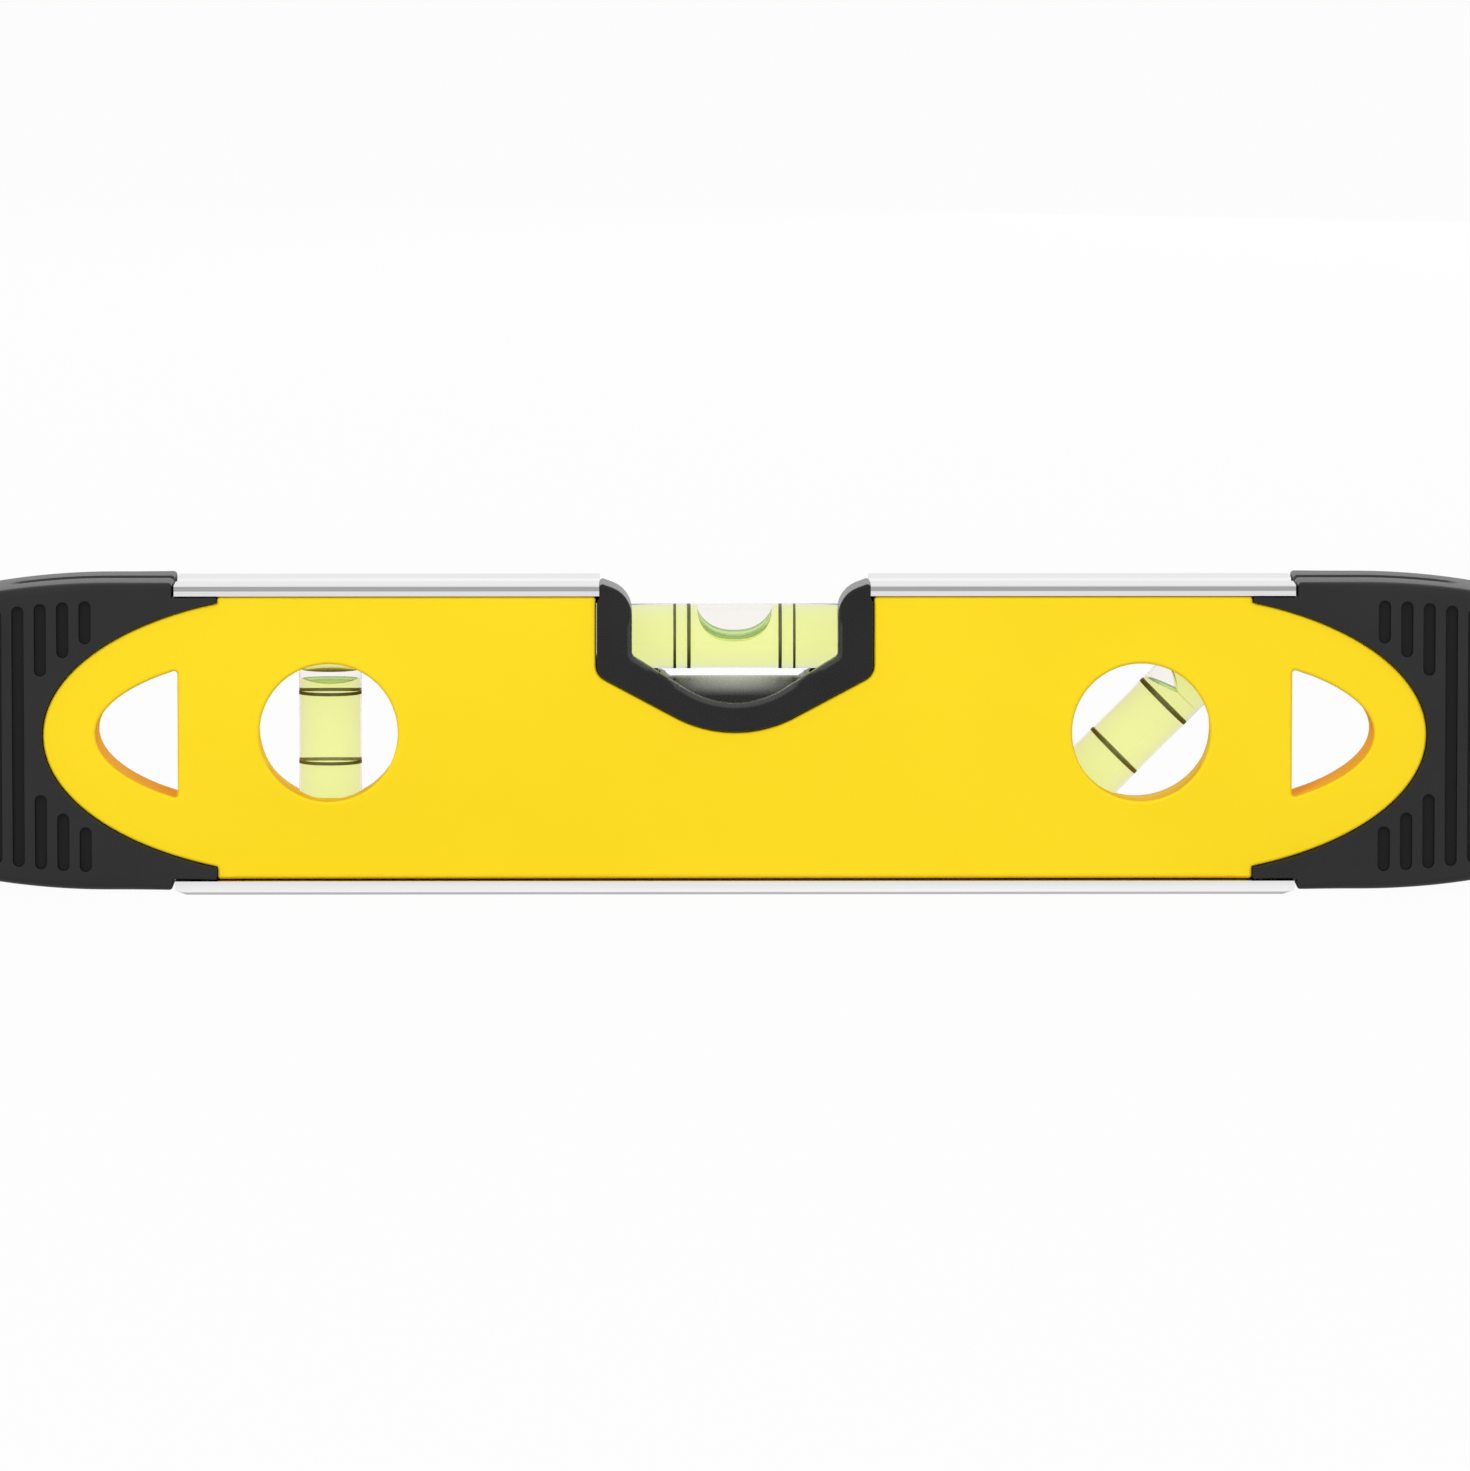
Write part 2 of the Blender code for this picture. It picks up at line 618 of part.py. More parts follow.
def body_half(name, side):
    """One moulded half: face, edge walls, bosses, cradles, rebate and holes."""
    near = side * PARTING
    face = side * FACE_DEPTH
    floor = side * (FACE_DEPTH - FACE_WALL)
    root = side * (FACE_DEPTH - FACE_WALL / 2)
    past = side * (HALF_DEPTH + OVERSHOOT)
    beyond = -side * OVERSHOOT
    outline = body_outline()
    plumb, slant = side_frames()
    sight_radius = SIGHT_DIAMETER / 2 + (SIGHT_RELIEF if side > 0 else 0.0)
    shell = prism(name + "_blank", [outline], near, face)
    pocket = prism(name + "_pocket", [grown(outline, -EDGE_WALL)], beyond, floor)
    combine(shell, "DIFFERENCE", [pocket])

    bosses = []
    for place, hand, frame in (("left", -1, plumb), ("right", 1, slant)):
        sight = circle((hand * SIGHT_X, SIGHT_Z), sight_radius + BOSS_WALL, HOLE_FACETS)
        hang = grown(on_hand(hang_outline(), hand), BOSS_WALL)
        flange = on_hand(nose_flange_outline(NOSE_FLANGE, FLANGE_SWEEP), hand)
        bosses.append(prism(name + "_" + place + "_sight_boss", [sight], near, root))
        bosses.append(prism(name + "_" + place + "_cradle", [cradle_outline(frame)], near, root))
        bosses.append(prism(name + "_" + place + "_hang_boss", [hang], near, root))
        bosses.append(prism(name + "_" + place + "_flange", [flange], near, side * FLANGE_THICKNESS / 2))
        bosses.append(swell(name + "_" + place + "_swell", hand, side))
    peg_bosses = [circle(place, PEG_DIAMETER / 2 + CLEARANCE + BOSS_WALL, PEG_FACETS) for place in peg_places()]
    bosses.append(prism(name + "_peg_bosses", peg_bosses, near, root))
    combine(shell, "UNION", bosses)

    cuts = []
    for place, hand in (("left", -1), ("right", 1)):
        sight = circle((hand * SIGHT_X, SIGHT_Z), sight_radius, HOLE_FACETS)
        hang = on_hand(hang_outline(), hand)
        cuts.append(prism(name + "_" + place + "_holes", [sight, hang], beyond, past))
    seat = SIDE_DIAMETER / 2 + CLEARANCE
    seat_end = SIDE_LENGTH / 2 + CLEARANCE
    seat_profile = [(0.0, seat_end), (seat, seat_end), (seat, -seat_end), (0.0, -seat_end)]
    cuts.append(turned(name + "_plumb_seat", seat_profile, plumb))
    cuts.append(turned(name + "_slant_seat", seat_profile, slant))
    rebate = window_notch(REBATE_GAP, BODY_TOP + OVERSHOOT)
    rebate_floor = side * (HALF_DEPTH - BEZEL_FLANGE_THICKNESS - REBATE_GAP)
    cuts.append(prism(name + "_rebate", [list(reversed(rebate))], rebate_floor, past))
    cuts += rail_rooms(name)
    combine(shell, "DIFFERENCE", cuts)

    peg_radius = PEG_DIAMETER / 2
    if side < 0:
        sockets = [circle(place, peg_radius + CLEARANCE, PEG_FACETS) for place in peg_places()]
        depth = side * (PEG_LENGTH + CLEARANCE)
        combine(shell, "DIFFERENCE", [prism(name + "_sockets", sockets, beyond, depth)])
    else:
        pegs = [circle(place, peg_radius, PEG_FACETS) for place in peg_places()]
        combine(shell, "UNION", [prism(name + "_pegs", pegs, -side * PEG_LENGTH, side * BOSS_WALL)])
    return piece(shell, name, YELLOW)


# End caps

def cap_end():
    """End of a cap from the base side round to the top: taper, corner, end face, corner, taper."""
    taper_x = HALF_LENGTH - CAP_TAPER_LENGTH
    corner_x = HALF_LENGTH - CAP_CORNER
    reach = CAP_TAPER_RADIUS - CAP_CORNER
    rise = math.sqrt(reach ** 2 - (corner_x - taper_x) ** 2)
    turn = math.degrees(math.atan2(rise, corner_x - taper_x))
    taper_radii = (CAP_TAPER_RADIUS, CAP_TAPER_RADIUS)
    corner_radii = (CAP_CORNER, CAP_CORNER)
    taper_z = CAP_TOP - CAP_TAPER_RADIUS
    corner_z = taper_z + rise
    upper = arc((corner_x, corner_z), corner_radii, 0, turn, CORNER_FACETS)
    upper += arc((taper_x, taper_z), taper_radii, turn, 90, ARC_FACETS // 2)[1:]
    lower = [(x, CAP_TOP + CAP_BOTTOM - z) for x, z in reversed(upper)]
    return lower + upper


def cap_blank_outline():
    """Cap with its tongues under the rails, before the nose is cut out of it."""
    step = RAIL_HALF + CLEARANCE
    tip = TONGUE_TIP + CLEARANCE
    return [(tip, BODY_BOTTOM), (step, BODY_BOTTOM), (step, CAP_BOTTOM)] + cap_end() + [
        (step, CAP_TOP), (step, BODY_TOP), (tip, BODY_TOP)]


def cap_height(x):
    """Height of the cap's top edge above its tapered length's start."""
    run = max(x - (HALF_LENGTH - CAP_TAPER_LENGTH), 0.0)
    return CAP_TOP - CAP_TAPER_RADIUS + math.sqrt(CAP_TAPER_RADIUS ** 2 - run ** 2)


def slot_outlines():
    """Grip slots: long ones outside, then pairs of short ones that follow the nose."""
    outlines = []
    for column in range(LONG_SLOTS + SHORT_SLOTS):
        x = HALF_LENGTH - SLOT_FIRST - column * SLOT_PITCH
        high = cap_height(x) - SLOT_END_MARGIN
        low = CAP_TOP + CAP_BOTTOM - high
        if column < LONG_SLOTS:
            outlines.append(slot_outline(x, low, high, SLOT_WIDTH))
            continue
        across = (x - NOSE_X) / (NOSE_LENGTH + SLOT_NOSE_MARGIN)
        gap = NOSE_HALF * math.sqrt(1 - across ** 2)
        outlines.append(slot_outline(x, NOSE_Z + gap, high, SLOT_WIDTH))
        outlines.append(slot_outline(x, low, NOSE_Z - gap, SLOT_WIDTH))
    return outlines


def end_cap(name, hand):
    """A grip cap: rounded blank, nose opening, flange slot, grip slots and V-grooves."""
    blank = on_hand(cap_blank_outline(), hand)
    cap = prism(name + "_blank", [blank], -HALF_DEPTH, HALF_DEPTH)
    step = RAIL_HALF + CLEARANCE
    round_rim(cap, CAP_EDGE_ROUND, lambda point: hand * point.x > step - SNAP_DISTANCE and (
        point.z > BODY_TOP + SNAP_DISTANCE or point.z < BODY_BOTTOM - SNAP_DISTANCE
        or hand * point.x > step + SNAP_DISTANCE))

    radii = (NOSE_LENGTH + CLEARANCE, NOSE_HALF + CLEARANCE)
    nose = on_hand(arc((NOSE_X, NOSE_Z), radii, 0, 360, NOSE_FACETS * 2)[:-1], hand)
    reach = NOSE_FLANGE + CLEARANCE
    groove = on_hand(nose_flange_outline(reach, FLANGE_SWEEP + FLANGE_SLOT_EASE), hand)
    flange_half = FLANGE_THICKNESS / 2 + CLEARANCE
    past = HALF_DEPTH + OVERSHOOT
    slots = [on_hand(outline, hand) for outline in slot_outlines()]
    slot_floor = HALF_DEPTH - SLOT_DEPTH
    cuts = [
        prism(name + "_nose", [nose], -past, past),
        prism(name + "_flange_slot", [groove], -flange_half, flange_half),
        prism(name + "_front_slots", slots, -past, -slot_floor),
        prism(name + "_rear_slots", slots, slot_floor, past),
    ]
    ends = sorted((hand * (RAIL_HALF - OVERSHOOT), hand * (HALF_LENGTH - CAP_GROOVE_END)))
    tongue = sorted((hand * (TONGUE_TIP - OVERSHOOT), hand * step))
    for place, level, up, lip in (("top", LEVEL_HEIGHT, 1, TOP_LIP), ("base", 0.0, -1, BASE_LIP)):
        mouth = (GROOVE_DEPTH + OVERSHOOT) / GROOVE_SLOPE
        outline = [(-mouth, level + up * OVERSHOOT), (0.0, level - up * GROOVE_DEPTH),
                   (mouth, level + up * OVERSHOOT)]
        cuts.append(prism(name + "_" + place + "_groove", [outline], ends[0], ends[1], along="X"))
        cuts.append(trough_cutter(name + "_" + place, tongue[0], tongue[1], lip, level, up))
    combine(cap, "DIFFERENCE", cuts)
    return piece(cap, name, BLACK_CAP)


# Window bezel

def shoulder_points():
    """Top of the right arm, from its outer corner inwards to the upright inner face."""
    top = LEVEL_HEIGHT + SHOULDER_PROUD
    fall = math.tan(math.radians(SHOULDER_SLOPE)) * BEZEL_WALL
    inner = (BEZEL_INNER_HALF, top - fall)
    foot = (BEZEL_INNER_HALF, inner[1] - SHOULDER_ROUND * 2)
    return rounded([(BEZEL_HALF_WIDTH, top), inner, foot], SHOULDER_ROUND, CORNER_FACETS, {1})


def bezel_blank(distance):
    """Bezel outline filled between its arms, grown or shrunk by a distance on its outside."""
    shoulder = [(min(x, BEZEL_HALF_WIDTH + distance), z) for x, z in shoulder_points()]
    bowl = window_notch(distance, BODY_TOP)[1:-1]
    return list(reversed(bowl)) + shoulder + [(-x, z) for x, z in reversed(shoulder)]


def bezel_opening():
    """Inner edge of the rim, open at the top."""
    bottom = LEVEL_HEIGHT - BEZEL_INNER_BOTTOM
    right = bezel_curve(BEZEL_INNER_HALF, BEZEL_INNER_SLOPE, bottom, BEZEL_INNER_RADIUS, BEZEL_INNER_CORNER)
    top = LEVEL_HEIGHT + SHOULDER_PROUD + OVERSHOOT
    bowl = right + [(-x, z) for x, z in reversed(right[:-1])]
    return list(reversed(bowl)) + [(BEZEL_INNER_HALF, top), (-BEZEL_INNER_HALF, top)]


def saddle_room_outline(side):
    """Space behind the rim, down to the rounded saddle, as a section across the level."""
    ridge = LEVEL_HEIGHT - SADDLE_DEPTH
    centre = ridge - SADDLE_RADIUS
    rim = HALF_DEPTH - BEZEL_RIM
    sweep = math.degrees(math.asin(rim / SADDLE_RADIUS))
    crest = arc((0.0, centre), (SADDLE_RADIUS, SADDLE_RADIUS), 90 - sweep, 90, ARC_FACETS)
    top = LEVEL_HEIGHT + SHOULDER_PROUD + OVERSHOOT
    outline = [(-OVERSHOOT, ridge), (-OVERSHOOT, top), (rim, top)] + crest
    return [(side * y, z) for y, z in outline]


def bezel_half(name, side):
    """One half of the window bezel: rim flange, arms, saddle and vial seats."""
    near = side * PARTING
    front = side * HALF_DEPTH
    flange_back = side * (HALF_DEPTH - BEZEL_FLANGE_THICKNESS)
    beyond = -side * OVERSHOOT
    past = side * (HALF_DEPTH + OVERSHOOT)
    rim = prism(name + "_rim", [bezel_blank(0.0)], flange_back, front)
    round_rim(rim, BEZEL_EDGE_ROUND, lambda point: abs(point.y - front) < SNAP_DISTANCE and (
        point.z < BODY_TOP or abs(point.x) < BEZEL_HALF_WIDTH - SNAP_DISTANCE))
    core = prism(name + "_core", [bezel_blank(-BEZEL_FLANGE)], near, flange_back + side * OVERSHOOT / 2)
    combine(rim, "UNION", [core])
    inner = BEZEL_INNER_HALF
    vial = Matrix.Translation((0, 0, VIAL_Z)) @ Matrix.Rotation(math.radians(90), 4, "Y")
    seat = CENTRE_DIAMETER / 2 + CLEARANCE
    seat_end = CENTRE_LENGTH / 2 + CLEARANCE
    seat_profile = [(0.0, seat_end), (seat, seat_end), (seat, -seat_end), (0.0, -seat_end)]
    rim_back = side * (HALF_DEPTH - BEZEL_RIM - OVERSHOOT)
    cuts = [
        prism(name + "_opening", [bezel_opening()], rim_back, past),
        prism(name + "_saddle_room", [saddle_room_outline(side)], -inner, inner, along="X"),
        turned(name + "_seat", seat_profile, vial),
    ]
    combine(rim, "DIFFERENCE", cuts)
    height = LEVEL_HEIGHT - BEZEL_BOTTOM + BEZEL_FLANGE + BEZEL_PEG_RISE
    places = [(-BEZEL_PEG_SPREAD / 2, height), (BEZEL_PEG_SPREAD / 2, height)]
    radius = BEZEL_PEG_DIAMETER / 2
    if side < 0:
        sockets = [circle(place, radius + CLEARANCE, PEG_FACETS) for place in places]
        depth = side * (BEZEL_PEG_LENGTH + CLEARANCE)
        combine(rim, "DIFFERENCE", [prism(name + "_sockets", sockets, beyond, depth)])
    else:
        pegs = [circle(place, radius, PEG_FACETS) for place in places]
        combine(rim, "UNION", [prism(name + "_pegs", pegs, -side * BEZEL_PEG_LENGTH, side * BEZEL_PEG_LENGTH)])
    return piece(rim, name, BLACK_BEZEL)


# Vials

def bore_radius(height, length, diameter):
    """Barrel-shaped bore: widest half way along, so that the bubble settles there."""
    across = height / (length / 2)
    return diameter / 2 - TUBE_WALL - BARREL_RISE * across ** 2


def bore_points(length, diameter, low, high, gap):
    """Points up or down the bore's wall, kept a gap inside it."""
    heights = np.linspace(low, high, BORE_RINGS)
    return [(bore_radius(height, length, diameter) - gap, height) for height in heights]


def tube(name, frame, length, diameter, lines):
    """Clear tube with a blind bore, open at its lower end, and a shallow groove for each line."""
    radius = diameter / 2
    top = length / 2
    profile = [(0.0, top), (radius - TUBE_END_ROUND, top), (radius, top - TUBE_END_ROUND)]
    for place, width in sorted(lines, reverse=True):
        upper = place + width / 2 + FILL_GAP
        lower = place - width / 2 - FILL_GAP
        profile += [(radius, upper), (radius - LINE_DEPTH, upper), (radius - LINE_DEPTH, lower), (radius, lower)]
    profile += [(radius, -top + TUBE_END_ROUND), (radius - TUBE_END_ROUND, -top)]
    profile += bore_points(length, diameter, -top, top - TUBE_END_WALL, 0.0)
    profile.append((0.0, top - TUBE_END_WALL))
    return piece(turned(name, profile, frame), name, CLEAR)


def plug(name, frame, length, diameter):
    """Disc that closes the tube's open end."""
    low = -length / 2
    high = low + PLUG_LENGTH
    radius = bore_radius(low, length, diameter) - FILL_GAP
    profile = [(0.0, high), (radius, high), (radius, low), (0.0, low)]
    return piece(turned(name, profile, frame), name, CLEAR)


def gauge_line(name, frame, place, width, diameter):
    """Ring of ink that fills one groove of the tube."""
    outer = diameter / 2
    inner = outer - LINE_DEPTH + FILL_GAP
    high = place + width / 2
    low = place - width / 2
    shape = [(outer, high), (outer, low), (inner, low), (inner, high), (outer, high)]
    return piece(turned(name, shape, frame), name, INK)


def liquid_bottom(length):
    return -length / 2 + PLUG_LENGTH + FILL_GAP


def bubble_blob(name, frame, gap):
    """Long bubble under the top of the centre tube: a stretched ball."""
    bore = bore_radius(0.0, CENTRE_LENGTH, CENTRE_DIAMETER)
    half_length = CENTRE_BUBBLE_LENGTH / 2 + gap
    bottom = -CENTRE_BUBBLE_SINK - gap
    half_height = CENTRE_BUBBLE_ROUND + gap
    blob = bpy.data.meshes.new(name)
    shape = bmesh.new()
    bmesh.ops.create_uvsphere(shape, u_segments=TUBE_FACETS, v_segments=TUBE_FACETS // 2, radius=1.0)
    bmesh.ops.scale(shape, vec=(half_height, bore, half_length), verts=shape.verts)
    bmesh.ops.translate(shape, vec=(-(bottom + half_height), 0, 0), verts=shape.verts)
    shape.to_mesh(blob)
    shape.free()
    solid = bpy.data.objects.new(name, blob)
    CUTTERS.objects.link(solid)
    solid.matrix_world = frame
    return make_cutter(solid)


def centre_vial():
    """Horizontal vial in the window: its frame has Z along +X and -X upwards."""
    frame = Matrix.Translation((0, 0, VIAL_Z)) @ Matrix.Rotation(math.radians(90), 4, "Y")
    inner_line = CENTRE_INNER_LINES / 2
    outer_line = CENTRE_OUTER_LINES / 2
    lines = (
        (-outer_line, CENTRE_OUTER_WIDTH),
        (-inner_line, CENTRE_INNER_WIDTH),
        (inner_line, CENTRE_INNER_WIDTH),
        (outer_line, CENTRE_OUTER_WIDTH),
    )
    tube("centre_vial_tube", frame, CENTRE_LENGTH, CENTRE_DIAMETER, lines)
    plug("centre_vial_plug", frame, CENTRE_LENGTH, CENTRE_DIAMETER)
    for number, (place, width) in enumerate(lines, start=1):
        gauge_line(f"centre_gauge_line_{number}", frame, place, width, CENTRE_DIAMETER)

    low = liquid_bottom(CENTRE_LENGTH)
    high = CENTRE_LENGTH / 2 - TUBE_END_WALL - FILL_GAP
    wall = bore_points(CENTRE_LENGTH, CENTRE_DIAMETER, high, low, FILL_GAP)
    fill = turned("centre_fill", [(0.0, high)] + wall + [(0.0, low)], frame)
    combine(fill, "DIFFERENCE", [bubble_blob("centre_scoop", frame, BUBBLE_GAP)])
    piece(fill, "centre_vial_liquid", LIQUID)

    half = CENTRE_BUBBLE_LENGTH
    radius = bore_radius(0.0, CENTRE_LENGTH, CENTRE_DIAMETER) - FILL_GAP - BUBBLE_GAP
    bubble = bubble_blob("centre_blob", frame, 0.0)
    limit = turned("centre_limit", [(0.0, half), (radius, half), (radius, -half), (0.0, -half)], frame)
    combine(bubble, "INTERSECT", [limit])
    piece(bubble, "centre_bubble", AIR)


def side_vial(place, frame):
    """Vial in a sight hole, with its bubble at the upper end."""
    lines = ((-SIDE_LINES / 2, SIDE_LINE_WIDTH), (SIDE_LINES / 2, SIDE_LINE_WIDTH))
    tube(f"{place}_vial_tube", frame, SIDE_LENGTH, SIDE_DIAMETER, lines)
    plug(f"{place}_vial_plug", frame, SIDE_LENGTH, SIDE_DIAMETER)
    for word, (height, width) in zip(("lower", "upper"), lines):
        gauge_line(f"{place}_gauge_line_{word}", frame, height, width, SIDE_DIAMETER)

    ceiling = SIDE_LENGTH / 2 - TUBE_END_WALL - BUBBLE_GAP
    low = liquid_bottom(SIDE_LENGTH)
    bubble_low = ceiling - SIDE_BUBBLE_LENGTH
    rim = bubble_low + BUBBLE_DOME - BUBBLE_GAP
    wall = bore_points(SIDE_LENGTH, SIDE_DIAMETER, rim, low, FILL_GAP)
    radius = wall[0][0]
    dish = arc((0.0, rim), (radius, BUBBLE_DOME), -90, 0, CORNER_FACETS)[:-1]
    fill = turned(f"{place}_fill", dish + wall + [(0.0, low)], frame)
    piece(fill, f"{place}_vial_liquid", LIQUID)

    girth = bore_radius(SIDE_LENGTH / 2, SIDE_LENGTH, SIDE_DIAMETER) - BUBBLE_GAP
    shoulder = BUBBLE_DOME / 2
    profile = [(0.0, ceiling)]
    profile += arc((girth - shoulder, ceiling - shoulder), (shoulder, shoulder), 90, 0, CORNER_FACETS)
    profile += arc((0.0, bubble_low + BUBBLE_DOME), (girth, BUBBLE_DOME), 0, -90, CORNER_FACETS)
    piece(turned(f"{place}_bubble_form", profile, frame), f"{place}_bubble", AIR)


def build():
    for name, side in (("body_front", -1), ("body_rear", 1)):
        body_half(name, side)
    for name, hand in (("end_cap_left", -1), ("end_cap_right", 1)):
        end_cap(name, hand)
    rail("top_rail_left", -RAIL_HALF, -TOP_RAIL_START, TOP_LIP, LEVEL_HEIGHT, 1, False)
    rail("top_rail_right", TOP_RAIL_START, RAIL_HALF, TOP_LIP, LEVEL_HEIGHT, 1, False)
    rail("bottom_rail", -RAIL_HALF, RAIL_HALF, BASE_LIP, 0.0, -1, True)
    for name, side in (("window_bezel_front", -1), ("window_bezel_rear", 1)):
        bezel_half(name, side)
    centre_vial()
    plumb, slant = side_frames()
    side_vial("plumb", plumb)
    side_vial("slant", slant)


build()
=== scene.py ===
import bmesh
import bpy
import numpy as np
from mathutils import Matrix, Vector
from mathutils.geometry import delaunay_2d_cdt


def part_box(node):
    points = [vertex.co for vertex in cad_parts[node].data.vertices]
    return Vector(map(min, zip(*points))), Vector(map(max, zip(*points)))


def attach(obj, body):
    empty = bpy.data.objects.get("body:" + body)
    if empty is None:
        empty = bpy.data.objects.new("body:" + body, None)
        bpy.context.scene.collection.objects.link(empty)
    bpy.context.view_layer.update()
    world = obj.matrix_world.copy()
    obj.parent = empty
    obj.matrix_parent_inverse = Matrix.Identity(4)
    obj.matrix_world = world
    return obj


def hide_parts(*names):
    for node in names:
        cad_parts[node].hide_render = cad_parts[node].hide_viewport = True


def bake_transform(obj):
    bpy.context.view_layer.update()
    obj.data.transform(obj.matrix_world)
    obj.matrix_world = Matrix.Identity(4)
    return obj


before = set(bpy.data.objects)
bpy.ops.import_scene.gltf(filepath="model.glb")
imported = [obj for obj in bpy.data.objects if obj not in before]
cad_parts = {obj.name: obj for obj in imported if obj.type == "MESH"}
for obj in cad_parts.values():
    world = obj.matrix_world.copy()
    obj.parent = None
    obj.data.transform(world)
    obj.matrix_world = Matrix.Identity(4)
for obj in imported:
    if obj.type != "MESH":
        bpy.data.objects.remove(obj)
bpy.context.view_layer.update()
mm = 0.001
near = 0.02 * mm      # points this close to a surface count as on it
hair = 0.01 * mm      # a step too small to show
weld = 1e-6           # points of a mesh that are closer than this are merged
tiny = 1e-9           # keeps a division off zero
softAngle = 32        # faces that meet at a smaller angle are shaded as one
roundAngle = 60       # the same for the skins of bubbles and liquid
boreSteps = 96        # points round a bore
edgeBlend = 2         # an edge's radius changes over this many points to either side
clearSlots = ("clear_acrylic", "vial_liquid", "bubble_air")

# the frame gives the places that every piece shares
bodyLow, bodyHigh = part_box("body_front")
railLow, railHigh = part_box("top_rail_right")
baseLow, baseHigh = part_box("bottom_rail")
capLow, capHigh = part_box("end_cap_right")
bezelLow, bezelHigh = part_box("window_bezel_front")
centreLow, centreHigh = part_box("centre_vial_tube")
slantLow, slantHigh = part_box("slant_vial_tube")

level = {
    "halfLength": capHigh.x,
    "halfDepth": railHigh.y,
    "top": railHigh.z,
    "railStart": railLow.x - 0.68 * mm,
    "railEnd": railHigh.x,
    "parting": 0.1 * mm,      # half of the gap between the two halves
    "clearance": 0.3 * mm,
    "grooveHalf": 3.0 * mm,   # V-groove along the rails and caps
    "grooveDepth": 2.2 * mm,
    "rearRelief": 1.2 * mm,   # every opening is this much wider in the rear half
}
grooveSlope = level["grooveDepth"] / level["grooveHalf"]
print("frame loaded: level", round(level["halfLength"] * 2 / mm, 1), "mm long")


# a dictionary of lengths, which are given in millimetres
def lengths(**values):
    return {name: value * mm for name, value in values.items()}


# a share, held between 0 and 1
def unit(value):
    return np.clip(value, 0, 1)


# points on an ellipse: the centre plus the radii times the cosine and sine of evenly spaced angles
def ellipseArc(centre, radii, start, end, count):
    angle = np.radians(np.linspace(start, end, count))
    return np.column_stack((centre[0] + radii[0] * np.cos(angle), centre[1] + radii[1] * np.sin(angle)))


# corners with no rounding, ready to stand between rounded ones
def plainCorners(path):
    return np.column_stack((path, np.zeros(len(path))))


# rows of vectors brought to length 1
def directions(rows):
    return rows / np.maximum(np.linalg.norm(rows, axis=1, keepdims=True), tiny)


# closed outline of corners (across, up, radius): each corner turns on an arc of its own radius, whose
# centre is on the line that halves the corner and whose spokes sweep half the turn to either side of it;
# points that lie on the one before are taken out
def roundedOutline(corners, steps=7):
    corners = np.asarray(corners, float)
    points, radius = corners[:, :2], corners[:, 2:]
    before = directions(np.roll(points, 1, 0) - points)
    after = directions(np.roll(points, -1, 0) - points)
    inside = np.clip((before * after).sum(1, keepdims=True), -1, 1)
    halfTurn = (np.pi - np.arccos(inside)) / 2
    middle, along = directions(before + after), directions(after - before)
    centre = points + middle * radius / np.cos(halfTurn)
    sweep = np.linspace(-1, 1, steps)[None, :, None] * halfTurn[:, None]
    spoke = along[:, None] * np.sin(sweep) - middle[:, None] * np.cos(sweep)
    path = (centre[:, None] + radius[:, None] * spoke).reshape(-1, 2)
    return path[np.linalg.norm(path - np.roll(path, 1, 0), axis=1) > weld / 10]


# splits every edge of a closed path into equal steps no longer than the gap
def splitEdges(path, gap):
    ahead = np.roll(path, -1, 0)
    counts = np.maximum(1, np.ceil(np.linalg.norm(ahead - path, axis=1) / gap).astype(int))
    edge = np.repeat(np.arange(len(path)), counts)
    step = np.arange(counts.sum()) - np.repeat(np.cumsum(counts) - counts, counts)
    share = (step / counts[edge])[:, None]
    return path[edge] * (1 - share) + ahead[edge] * share


# moves a closed anticlockwise path inwards: each point goes along the mitre of its two edges
def inset(path, distance):
    edge = directions(np.roll(path, -1, 0) - path)
    normal = np.column_stack((-edge[:, 1], edge[:, 0]))
    before = np.roll(normal, 1, 0)
    mitre = (normal + before) / (1 + (normal * before).sum(1, keepdims=True))
    return path + mitre * np.reshape(distance, (-1, 1))


# smooths values along a closed path: a running mean over the given number of points
def smoothAlong(values, width):
    reach = np.arange(-width, width + 1)
    return values[(np.arange(len(values))[:, None] + reach) % len(values)].mean(1)


# a ring of points in space from a flat path: across and up from the path, depth from the other value
def ring(path, depth):
    return np.column_stack((path[:, 0], np.broadcast_to(depth, len(path)), path[:, 1]))


# rounds the edge where a wall meets a face: a quarter circle from the face, inset by the radius,
# to the wall, sunk by the radius; gives (inset, sink) as shares of the radius
def edgeShares(steps=7):
    angle = np.linspace(0, np.pi / 2, steps)
    return np.column_stack((1 - np.sin(angle), 1 - np.cos(angle)))


# the rings of such an edge, from the face to the wall; the face's depth is a number or a function of place,
# and a radius below zero widens the path, for the edge of a hole
def easedRings(path, radius, depthAt, side=1, steps=7):
    rings = []
    for share, sink in edgeShares(steps):
        moved = inset(path, share * radius)
        depth = depthAt(moved) if callable(depthAt) else depthAt
        rings.append(ring(moved, side * (depth - sink * np.abs(radius))))
    return rings


# a grid of points as a patch of four-sided faces, whose last column meets the first
def gridPatch(grid):
    grid = np.asarray(grid)
    rows, columns = grid.shape[:2]
    index = np.arange(rows * columns).reshape(rows, columns)
    beside = np.roll(index, -1, 1)
    cells = np.stack((index[:-1], beside[:-1], beside[1:], index[1:]), -1)
    return grid.reshape(-1, 3), cells.reshape(-1, 4)


